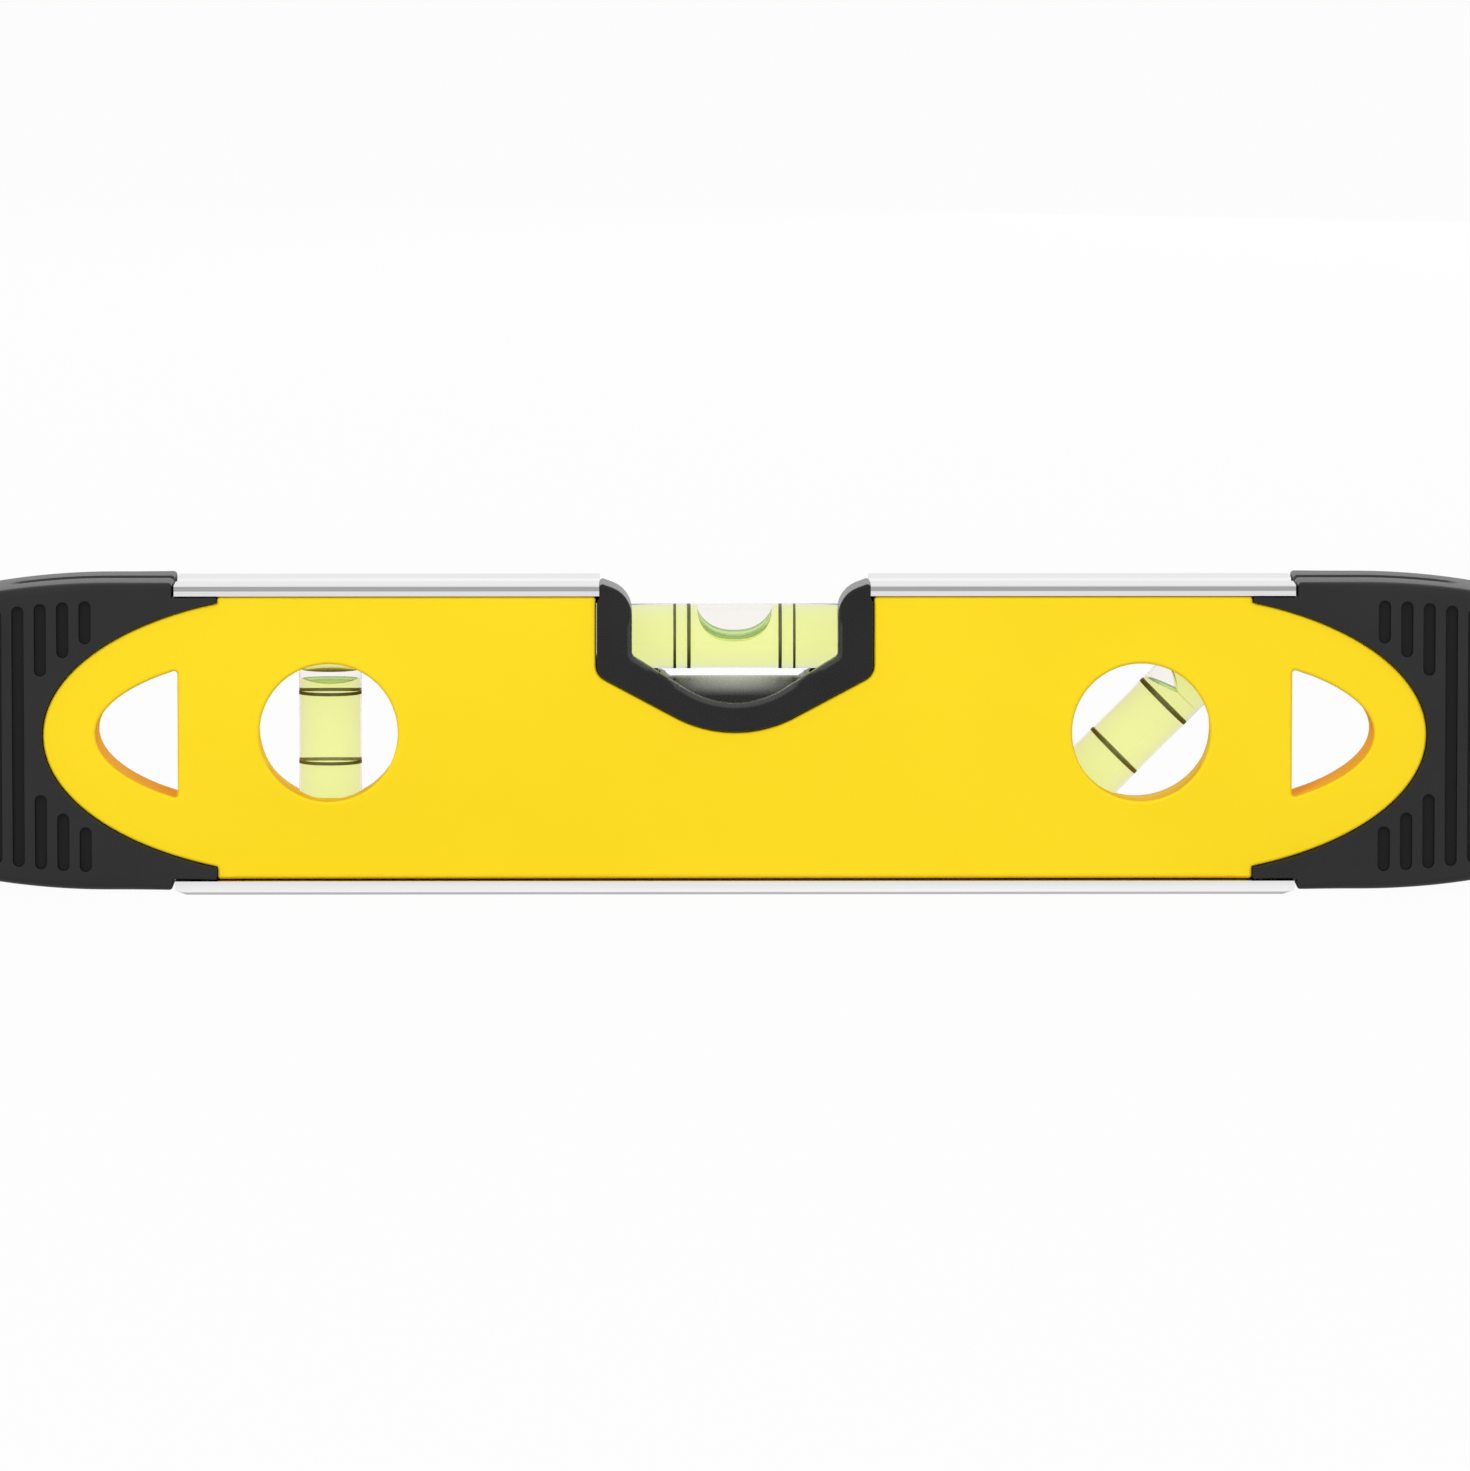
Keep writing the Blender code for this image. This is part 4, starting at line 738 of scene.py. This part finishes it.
# end cap: rings from face to face, grip slots in both faces, and room for the ends of the rails
def makeCap(name, node, hand):
    outline, depth, edge = capOutline(), level["halfDepth"], cap["slotEdge"]
    x, z = outline.T
    outer = (z > body["top"]) | (z < body["bottom"]) | (x > level["halfLength"] - cap["endRun"])
    outer &= x > cap["step"]
    run = unit((x - cap["step"]) / cap["edgeRun"])
    radius = cap["noseEdge"] * unit(cap["tipShare"] + (x - cap["tip"]) / cap["edgeRun"])
    radius += (cap["edge"] - cap["noseEdge"]) * smoothAlong(outer * run, cap["edgeBlend"])
    onNose = ~outer & (np.abs(noseBend(outline)) < body["flangeSweep"] + cap["flangeTurn"])
    grooveFade = unit((level["halfLength"] - cap["grooveEnd"] - x) / cap["grooveRun"])
    lipTop = unit((z - body["top"]) / (cap["top"] - body["top"] - cap["stepRound"]))
    lipBottom = unit((body["bottom"] - z) / (body["bottom"] - cap["bottom"] - cap["stepRound"]))
    apexTop = cap["grooveHalf"] * grooveSlope
    apexBottom = level["grooveDepth"] - cap["bottom"]

    # wall at a depth: the V-grooves lower the top and raise the bottom, the flange's slot sinks the nose
    def wall(across, slotted=False):
        path = inset(outline, (body["flange"] + level["clearance"]) * onNose) if slotted else outline.copy()
        path[:, 1] -= grooveFade * lipTop * max(0, apexTop - grooveSlope * abs(across))
        path[:, 1] += grooveFade * lipBottom * max(0, apexBottom - grooveSlope * abs(across))
        return ring(path, across)

    # rings from the front edge to the middle, and the same turned over from there to the rear edge
    flange = body["flangeHalf"] + level["clearance"]
    stops = {flange + cap["flangeRun"], flange, cap["middleRun"],
             apexTop / grooveSlope, apexBottom / grooveSlope}
    rings = easedRings(outline, radius, depth, -1)
    for across in sorted(stops, reverse=True):
        if across >= flange:
            rings.append(wall(-across))
        if across <= flange:
            rings.append(wall(-across, True))
    rings += [wall(0, True)] + [row * (1, -1, 1) for row in reversed(rings)]
    inner = inset(outline, radius + cap["facePad"])
    patches = [gridPatch([ring(inner, -depth), *rings, ring(inner, depth)])]

    # each slot: an eased edge, a wall and an eased floor, whose edge is the first one turned over
    slots, floor, count = slotOutlines(), depth - cap["slotDepth"], cap["slotEdgeSteps"]
    for side in (-1, 1):
        loops = [inner]
        for slot in slots:
            mouth = inset(slot, -edge - cap["slotPad"])
            rows = [ring(mouth, side * depth)] + easedRings(slot, -edge, depth, side, count)
            rows += easedRings(slot, edge, -floor, -side, count)[::-1]
            patches += [gridPatch(rows), facePatch([inset(slot, edge)], side * floor)]
            loops.append(mouth)
        patches.append(facePatch(loops, side * depth))
    patches = [(points * (hand, 1, 1), cells) for points, cells in patches]
    piece = makePiece(name, patches, blackGrip, "black_grip", [node])

    # room for the troughs of the rails
    apex, half = level["grooveDepth"] + rail["troughWall"] + cap["troughGap"], cap["troughHalf"]
    section = np.array([(0, apex), (half, apex - half * grooveSlope), (-half, apex - half * grooveSlope)])
    for height, up in ((level["top"], 1), (0, -1)):
        rows = [np.column_stack((np.full(3, hand * along), section[:, 0], height - up * section[:, 1]))
                for along in (cap["tip"] - cap["troughLead"], cap["step"] - hair)]
        cutAway(piece, [gridPatch(rows), endPatch(rows[0]), endPatch(rows[1])])
    place = pointsOf(piece) * (hand, 1, 1)
    # painted shade: points in the slots, on their walls and floors, take the grip's darker second tone
    markPoints(piece, "mark", np.any([insideLoop(place[:, [0, 2]], inset(slot, -near)) for slot in slots], 0))


makeCap("gripCapLeft", "end_cap_left", -1)
makeCap("gripCapRight", "end_cap_right", 1)
print("end caps made")


# section across a rail as (depth, height from the working face): a V-groove between two flat lands,
# lips with a rolled band at their outsides, and a trough under the groove
def railSection(lip, banded):
    half, bandDepth, bandEdge = level["halfDepth"], rail["bandDepth"], rail["bandEdge"]
    apex = level["grooveDepth"] + rail["troughWall"]
    bandTop, bandLow = rail["bandTop"], rail["bandTop"] + rail["bandWidth"]
    right = [[(apex - lip) / grooveSlope, lip, rail["troughRound"]], [half, lip, rail["lipRound"]]]
    if banded:
        right += [[half, bandLow + bandDepth, bandEdge], [half - bandDepth, bandLow, bandEdge],
                  [half - bandDepth, bandTop, bandEdge], [half, bandTop - bandDepth, bandEdge]]
    else:
        right += [[half, rail["footBand"] + rail["footStep"], 0], [half, rail["footBand"], 0]]
    right += [[half, 0, rail["edge"]], [level["grooveHalf"], 0, rail["grooveEdge"]]]
    left = [[-y, z, r] for y, z, r in reversed(right)]
    corners = [[0, apex, rail["troughRound"]], *right, [0, level["grooveDepth"], rail["apex"]], *left]
    return splitEdges(roundedOutline(corners, rail["cornerSteps"]), rail["sectionStep"])


# the section carried along the rail; where it is eased, the working face slopes back at both ends
def makeRail(name, node, start, end, lip, working, up, eased):
    section = railSection(lip, not eased)
    along = np.linspace(start, end, rail["lengthSteps"])
    if eased:
        along = np.sort(np.append(along, (start + rail["easeRun"], end - rail["easeRun"])))
    x, y = np.meshgrid(along, section[:, 0], indexing="ij")
    depth = np.broadcast_to(section[:, 1], x.shape)
    if eased:
        slope = unit(1 - np.minimum(x - start, end - x) / rail["easeRun"])
        depth = np.maximum(depth, slope * rail["easeRise"])
    grid = np.stack((x, y, working - up * depth), -1)
    patches = [gridPatch(grid), endPatch(grid[0]), endPatch(grid[-1])]
    piece = makePiece(name, patches, extrudedAluminium, "aluminium", [node])

    # tones of painted light and shade: the groove is painted lighter than the even lands, as a lit wall, and
    # darkens towards its apex as painted shade; the sides have a dark band of painted reflection, or are
    # painted pale, as a reflection, towards a foot painted dark as shade
    place = pointsOf(piece)
    drop = up * (working - place[:, 2])
    across = np.abs(place[:, 1])
    sunk = unit(1 - across / rail["apexReach"])
    groove = rail["paintedGrooveLight"] + (rail["paintedApexShade"] - rail["paintedGrooveLight"]) * sunk
    tone = np.where(across < level["grooveHalf"] - near, groove, rail["landTone"])
    onSide = across > level["halfDepth"] - 2 * rail["bandDepth"]
    if eased:
        rise = unit((lip - drop) / (lip - rail["footBand"]))
        tone[onSide] += (rail["paintedSideReflection"] - rail["landTone"]) * rise[onSide]
        tone[onSide & (drop < rail["footBand"] + near)] = rail["paintedFootShade"]
    else:
        bandLow = rail["bandTop"] + rail["bandWidth"]
        tone[onSide & (drop > rail["bandTop"] - near) & (drop < bandLow + near)] = rail["paintedBandReflection"]
    markPoints(piece, "tone", tone)


topRail = (rail["topLip"], level["top"], 1, False)
makeRail("topRailLeftBar", "top_rail_left", -level["railEnd"], -level["railStart"], *topRail)
makeRail("topRailRightBar", "top_rail_right", level["railStart"], level["railEnd"], *topRail)
makeRail("baseRailBar", "bottom_rail", baseLow.x, baseHigh.x, rail["baseLip"], baseLow.z, -1, True)
print("rails made")


# vial in the window; the bezel's seat is bored for it
centreVial = {
    **lengths(radius=4.8, bore=3.9, endWall=1.0, endRound=0.4, innerLines=13.5, innerWidth=0.48,
              outerLines=17.7, outerWidth=0.36, bubbleHalf=5.5, bubbleHeight=4.6, bubbleWidth=4.55),
    "axis": (centreLow.z + centreHigh.z) / 2, "length": centreHigh.x - centreLow.x,
    "bubblePower": 2.4, "curveSteps": 73, "lengthSteps": 81,
}


# height of the saddle: that of a cylinder along the level
def saddleHeight(across):
    radius = bezel["saddleRadius"]
    return bezel["ridge"] - radius + np.sqrt(np.maximum(radius ** 2 - across ** 2, 0))


# bezel halves: the U outline carried from the front edge to the parting; behind the rim the bottom of
# the U becomes the saddle
def makeBezel(name, node, side):
    relief = level["rearRelief"] if side > 0 else 0
    half, top, depth = bezel["half"], bezel["top"] - relief, level["halfDepth"]
    inner = half - bezel["wall"] + relief / 2
    neck = half - bezel["neck"]
    fall = np.tan(np.radians(bezel["shoulderSlope"])) * (neck - inner)
    outside = uCurve(half, bezel["outerSlope"], bezel["bottom"], bezel["outerRadius"],
                     bezel["outerCorner"])[::-1]
    opening = uCurve(inner, bezel["innerSlope"], bezel["innerBottom"] - relief, bezel["innerRadius"],
                     bezel["innerCorner"])
    shoulder = [[half, body["top"] - bezel["neckLow"], bezel["neckRound"]],
                [neck, body["top"] - bezel["neckHigh"], bezel["neckRound"]],
                [neck, top, bezel["armRound"]], [inner, top - fall, bezel["shoulderRound"]]]
    corners = np.concatenate((outside, shoulder, opening, mirrorCorners(shoulder)))
    outline = splitEdges(roundedOutline(corners), bezel["outlineStep"])
    bowl = roundedOutline(outside)
    bowl = bowl[np.argsort(bowl[:, 0])]

    # whether a point stands clear of the outside of the U
    def isInner(across, height):
        return height - np.interp(across, bowl[:, 0], bowl[:, 1]) > bezel["thinnest"]

    x, z = np.abs(outline[:, 0]), outline[:, 1]
    inside = (x < inner + weld) & isInner(outline[:, 0], z)
    below = inside & (x < inner - hair) & (z < opening[0, 1] + bezel["elbowRoom"])
    radius = smoothAlong(np.where(inside, bezel["innerEdge"], bezel["outerEdge"]), edgeBlend)
    rings = [ring(inset(outline, radius + bezel["facePad"]), side * depth)]
    rings += easedRings(outline, radius, depth, side)
    rimBack = depth - bezel["rim"]
    rings.append(ring(outline, side * rimBack))
    for across in np.linspace(rimBack, level["parting"], bezel["saddleSteps"]):
        path = outline.copy()
        path[below, 1] = saddleHeight(across)
        rings.append(ring(path, side * across))
    patches = [gridPatch(rings)] + [facePatch([row[:, [0, 2]]], row[0, 1]) for row in (rings[0], rings[-1])]
    piece = makePiece(name, patches, blackMoulding, "black_moulding", [node])
    cutBore(piece, bezel["seatRadius"], bezel["seatHalf"], (0, 0, centreVial["axis"]), (1, 0, 0))

    # painted light: the saddle is painted palest at its ridge, a pool of light such as the vial gathers onto
    # it, and the rim's inner edge is painted paler than its face, a painted highlight
    place = pointsOf(piece)
    x, across, z = np.abs(place[:, 0]), np.abs(place[:, 1]), place[:, 2]
    onSaddle = (x < inner - near) & (np.abs(z - saddleHeight(across)) < near) & (across < rimBack)
    onEdge = (x < inner + bezel["edgeWide"]) & isInner(place[:, 0], z)
    onEdge &= (across > depth - bezel["innerEdge"] - hair) & (across < depth - bezel["edgeSunk"])
    rub = unit(1 - (across / bezel["rubReach"]) ** 3)
    rub *= unit(1 - (x / bezel["rubHalf"]) ** 2)
    markPoints(piece, "mark", rub * onSaddle + bezel["paintedEdgeLight"] * onEdge)


makeBezel("windowBezelFront", "window_bezel_front", -1)
makeBezel("windowBezelRear", "window_bezel_rear", 1)
print("bezel made")


# vials
skinGap = 0.04 * mm     # between a bubble's skin and the liquid or the bore
seamGap = 0.001 * mm    # between lengths of liquid that meet
blendGap = 0.1 * mm     # the start and end given for each length of liquid keep this far from the end of a piece
lineProud = 0.012 * mm
lineSunk = 0.02 * mm
rodSteps = 128
rodEndSteps = 6


# clear rod with eased ends, and its printed lines: thin bands round the rod, just proud of its surface;
# a line is its name, its place along the rod and its width
def makeRod(place, values, origin, axis, lines):
    radius, half = values["radius"], values["length"] / 2
    shares = edgeShares(rodEndSteps) * values["endRound"]
    upper = np.column_stack((radius - shares[:, 0], half - shares[:, 1]))
    profile = np.concatenate(([[0, half]], upper, upper[::-1] * (1, -1), [[0, -half]]))
    makePiece(f"{place}Rod", [gridPatch(turnedGrid(profile, origin, axis, rodSteps))], clearAcrylic,
              "clear_acrylic", [f"{place}_vial_tube", f"{place}_vial_plug"])
    proud, sunk = radius + lineProud, radius - lineSunk
    for name, middle, width in lines:
        low, high = middle - width / 2, middle + width / 2
        profile = [(sunk, low), (proud, low), (proud, high), (sunk, high), (sunk, low)]
        makePiece(f"{place}Line{name.capitalize()}", [gridPatch(turnedGrid(profile, origin, axis, rodSteps))],
                  lineInk, "line_ink", [f"{place}_gauge_line_{name}"])


# a bubble, which slides on its own body
def makeAir(place, grid):
    return makePiece(f"{place}BubbleAir", [gridPatch(grid)], bubbleAir, "bubble_air", [f"{place}_bubble"],
                     body=f"{place}_air", angle=roundAngle)


# a length of liquid, which belongs to no body
def makeLiquid(place, part, grid):
    return makePiece(f"{place}Liquid{part}", [gridPatch(grid)], greenLiquid, "vial_liquid",
                     [f"{place}_vial_liquid"], body=None, angle=roundAngle)


# section of the centre bubble at shares of its half length: an ellipse that hangs from the top of the
# bore, with size (1 - u^p)^(1/p), its height in step with the size and its width with the size's root;
# gives the radius of the bore, the ellipse's half height and half width, and how far under the bore's
# top the two curves cross: (2/h - 2R/w2) / (1/h2 - 1/w2)
def bubbleSection(shares, gap):
    power = centreVial["bubblePower"]
    least = 1e-30
    size = np.maximum(1 - np.abs(shares) ** power, least) ** (1 / power)
    bore = centreVial["bore"] - gap * size
    height = (centreVial["bubbleHeight"] / 2 - gap) * size
    width = (centreVial["bubbleWidth"] - gap) * np.sqrt(size)
    leave = (2 / height - 2 * bore / width ** 2) / (1 / height ** 2 - 1 / width ** 2)
    return bore, height, width, leave


# the curves of each section as one loop in space at places along the vial: the bore's between the
# crossings, over the top or round the bottom, and the ellipse's, under the bubble
def bubbleLoops(shares, gap, overTop, along):
    bore, height, width, leave = (value[:, None] for value in bubbleSection(shares, gap))
    share = np.linspace(0, 1, centreVial["curveSteps"])
    turn = np.arcsin(np.clip(1 - leave / bore, -1, 1))
    angle = turn + share * (np.pi - 2 * turn) if overTop else turn - share * (np.pi + 2 * turn)
    outer = np.stack((bore * np.cos(angle), bore * np.sin(angle)), -1)
    turn = np.arcsin(np.clip(1 - leave / height, -1, 1))
    angle = turn - share * (np.pi + 2 * turn)
    under = np.stack((width * np.cos(angle), bore - height + height * np.sin(angle)), -1)
    loops = np.concatenate((outer, under[:, -2:0:-1]), 1)
    x = np.broadcast_to(np.reshape(along, (-1, 1)), loops.shape[:2])
    return np.stack((x, loops[..., 0], loops[..., 1] + centreVial["axis"]), -1)


def makeCentreVial():
    axis, origin = (1, 0, 0), (0, 0, centreVial["axis"])
    inner, outer = centreVial["innerLines"] / 2, centreVial["outerLines"] / 2
    innerWidth, outerWidth = centreVial["innerWidth"], centreVial["outerWidth"]
    makeRod("centre", centreVial, origin, axis, (("1", -outer, outerWidth), ("2", -inner, innerWidth),
                                                 ("3", inner, innerWidth), ("4", outer, outerWidth)))
    half = centreVial["bubbleHalf"]
    shares = np.sin(np.linspace(-np.pi / 2, np.pi / 2, centreVial["lengthSteps"]))
    bubble = makeAir("centre", bubbleLoops(shares, skinGap, True, shares * half))
    place = pointsOf(bubble)
    bore, height, _, leave = bubbleSection(np.clip(place[:, 0] / half, -1, 1), skinGap)
    fall = centreVial["axis"] + bore - place[:, 2]
    # painted refraction: the skirt sets the dark lines and bands painted on the bubble's lower edge
    markPoints(bubble, "skirt", unit((fall - leave) / np.maximum(2 * height - leave, tiny)))

    # liquid: the crescent under the bubble carried to both of its ends, and the full bore on from there;
    # the seam of the two lengths is behind a gauge line
    boreEnd = centreVial["length"] / 2 - centreVial["endWall"]
    seam = inner
    shares = np.concatenate(([-1.0], shares, [1.0]))
    along = shares * (half + skinGap)
    along[[0, -1]] = -boreEnd, seam - seamGap
    rows = bubbleLoops(shares, 0, False, along)
    first, last = (np.broadcast_to((x, *origin[1:]), (1, *rows.shape[1:])) for x in along[[0, -1]])
    longer = np.concatenate((first, rows, last))
    bore, low = centreVial["bore"], seam + seamGap
    shorter = turnedGrid([(0, low), (bore, low), (bore, boreEnd), (0, boreEnd)], origin, axis, boreSteps)
    for part, grid, start, end in (("Left", longer, blendGap - boreEnd, -half - blendGap),
                                   ("Right", shorter, boreEnd - blendGap, low)):
        piece = makeLiquid("centre", part, grid)
        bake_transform(piece)


# side vials: the bubble lies under the bore's end between two skins. The meniscus rises with the square
# of the radius and, in the slanted vial, tilts towards level; the crown falls away with the square of the
# distance from its apex. They meet where A r2 - B r - C = 0, or else at the bore
def makeSideVial(place, hand, axis, settle, dome, tilt, shade, top, apex, fall, deepFall, rimEnd):
    origin = np.array((hand * sightX, 0, sightZ))
    axis = np.array(axis) / np.linalg.norm(axis)
    up = np.cross(axis, (0, 1, 0))
    lines, lineWidth = sideVial["lines"] / 2, sideVial["lineWidth"]
    makeRod(place, sideVial, origin, axis, (("lower", -lines, lineWidth), ("upper", lines, lineWidth)))

    bore, rimStart = sideVial["bore"], sideVial["rimStart"]
    slope, bulge = np.tan(np.radians(tilt)), dome / bore ** 2
    angle = np.linspace(0, 2 * np.pi, boreSteps, endpoint=False)

    def meniscus(across, depth):
        return settle + bulge * (across ** 2 + depth ** 2) + slope * across

    def crown(across, depth):
        return top - fall * (across - apex) ** 2 - deepFall * depth ** 2

    # radius at which the skins meet, when both are drawn in by the gap
    def meeting(gap):
        square = bulge + fall * np.sin(angle) ** 2 + deepFall * np.cos(angle) ** 2
        linear = np.sin(angle) * (2 * fall * apex - slope)
        rest = top - settle - 2 * gap - fall * apex ** 2
        return np.minimum((linear + np.sqrt(linear ** 2 + 4 * square * rest)) / (2 * square), bore - gap)

    # rows of a skin from the middle out to the meeting, and on from there at the height it has reached
    def skinGrid(skin, gap, lift, onward):
        radii = np.linspace(0, 1, sideVial["skinSteps"])[:, None] * meeting(gap)
        across, depth = radii * np.sin(angle), radii * np.cos(angle)
        heights = skin(across, depth) + lift
        if onward:
            across = np.concatenate((across, [bore * np.sin(angle)]))
            depth = np.concatenate((depth, [bore * np.cos(angle)]))
            heights = np.concatenate((heights, heights[-1:]))
        return origin + across[..., None] * up + depth[..., None] * (0, 1, 0) + heights[..., None] * axis

    lower = skinGrid(meniscus, skinGap, skinGap, False)
    upper = skinGrid(crown, skinGap, -skinGap, False)
    bubble = makeAir(place, np.concatenate((lower, upper[::-1])))
    spot = pointsOf(bubble) - origin
    across, depth, height = spot @ up, spot[:, 1], spot @ axis
    under, over = height - meniscus(across, depth), crown(across, depth) - height
    distance = np.hypot(across, depth)
    # painted refraction: the skirt paints the meniscus with dark lines and bands, and the rim under the crown
    # gets a dark painted line
    skirt = shade * unit(1 - (distance / (bore - skinGap)) ** 2) * (under < 2 * skinGap)
    inward = bore - distance
    rim = (over < 2 * skinGap) & (inward > rimStart) & ((inward < rimEnd) | (under < rimStart))
    markPoints(bubble, "skirt", np.where(rim, sideVial["rimSkirt"], skirt))

    # liquid under the bubble, down to the end of the bore, and over it
    ceiling = sideVial["length"] / 2 - sideVial["endWall"]
    surface = skinGrid(meniscus, 0, 0, True)
    bottom = turnedGrid([(bore, -ceiling), (0, -ceiling)], origin, axis, boreSteps)
    piece = makeLiquid(place, "Lower", np.concatenate((surface, bottom)))
    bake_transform(piece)
    surface = skinGrid(crown, 0, seamGap, True)
    cover = turnedGrid([(bore, ceiling), (0, ceiling)], origin, axis, boreSteps)
    piece = makeLiquid(place, "Upper", np.concatenate((surface, cover)))
    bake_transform(piece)


makeCentreVial()
for place in ("plumb", "slant"):
    makeSideVial(place, **sideVial[place])
print("vials made")


# stage: pale floor, white world, soft lamps, camera
stage = {
    "floorHalf": 12.0, "floorDrop": 0.02 * mm, "floorColour": (0.45, 0.45, 0.45), "floorRoughness": 0.9,
    "floorGlow": 0.97, "worldLight": 0.55, "white": (1, 1, 1, 1),
    "cameraDistance": 1.70, "cameraSide": -0.012, "cameraRise": 0.165, "cameraReach": 50,
    "viewWidth": 217.0 * mm, "sensor": 36.0, "target": (0.0, -level["halfDepth"], 23.6 * mm),
    "lamps": {
        "keyLamp": ((-0.8, -1.5, 0.8), 1.2, 16.5),
        "fillLamp": ((1.0, -1.5, 0.5), 1.2, 9.5),
        "topLamp": ((0.1, 0.6, 1.5), 1.2, 3.0),
        "backLamp": ((0.6, 1.6, 0.5), 1.2, 14.0),
    },
}


def addMath(tree, kind, first, second):
    node = addNode(tree, "Math", {0: first, 1: second})
    node.operation = kind
    return node.outputs[0]


# light path: 1 for rays from the camera, a mirror or clear plastic
def addSeenRays(tree):
    path = addNode(tree, "LightPath")
    seen = path.outputs["Is Camera Ray"]
    for name in ("Is Glossy Ray", "Is Transmission Ray"):
        seen = addMath(tree, "MAXIMUM", seen, path.outputs[name])
    return seen


# the first shader lights the pieces, and the second is what the seen rays meet
def mixSeen(tree, output, share, first, second):
    mix = addNode(tree, "MixShader", {0: share, 1: first.outputs[0], 2: second.outputs[0]})
    fill(tree, tree.nodes[output], {"Surface": mix.outputs[0]})


def makeFloor():
    half = stage["floorHalf"]
    low = -stage["floorDrop"]
    corners = [(-half, -half, low), (half, -half, low), (half, half, low), (-half, half, low)]
    mesh = bpy.data.meshes.new("paleFloor")
    mesh.from_pydata(corners, [], [(0, 1, 2, 3)])
    floor = addObject("paleFloor", mesh)
    finish, tree, shader = newFinish("paleFloor")
    fill(tree, shader, {
        "Base Color": (*stage["floorColour"], 1),
        "Roughness": stage["floorRoughness"],
        "Specular IOR Level": 0,
    })
    share = addMath(tree, "MULTIPLY", addSeenRays(tree), stage["floorGlow"])
    mixSeen(tree, "Material Output", share, shader, addNode(tree, "Emission"))
    mesh.materials.append(finish)


def makeWorld():
    world = bpy.data.worlds.new("whiteRoom")
    world.use_nodes = True
    tree = world.node_tree
    light = tree.nodes["Background"]
    fill(tree, light, {"Color": stage["white"], "Strength": stage["worldLight"]})
    seen = addNode(tree, "Background", {"Color": stage["white"]})
    mixSeen(tree, "World Output", addSeenRays(tree), light, seen)
    bpy.context.scene.world = world


def aim(thing, place, target):
    thing.location = place
    thing.rotation_euler = (Vector(target) - Vector(place)).to_track_quat("-Z", "Y").to_euler()


def makeLamps():
    for name, (place, size, power) in stage["lamps"].items():
        data = bpy.data.lights.new(name, "AREA")
        data.size = size
        data.energy = power
        lamp = addObject(name, data)
        lamp.visible_glossy = False
        lamp.visible_transmission = False
        aim(lamp, place, stage["target"])


def makeCamera():
    data = bpy.data.cameras.new("photoCamera")
    camera = addObject("photoCamera", data)
    target = Vector(stage["target"])
    place = target + Vector((stage["cameraSide"], -stage["cameraDistance"], stage["cameraRise"]))
    aim(camera, place, target)
    data.sensor_fit = "HORIZONTAL"
    data.sensor_width = stage["sensor"]
    data.lens = stage["sensor"] * (place - target).length / stage["viewWidth"]
    data.clip_end = stage["cameraReach"]
    bpy.context.scene.camera = camera


makeFloor()
makeWorld()
makeLamps()
makeCamera()
bpy.context.scene.view_settings.view_transform = "Standard"
print("stage ready")
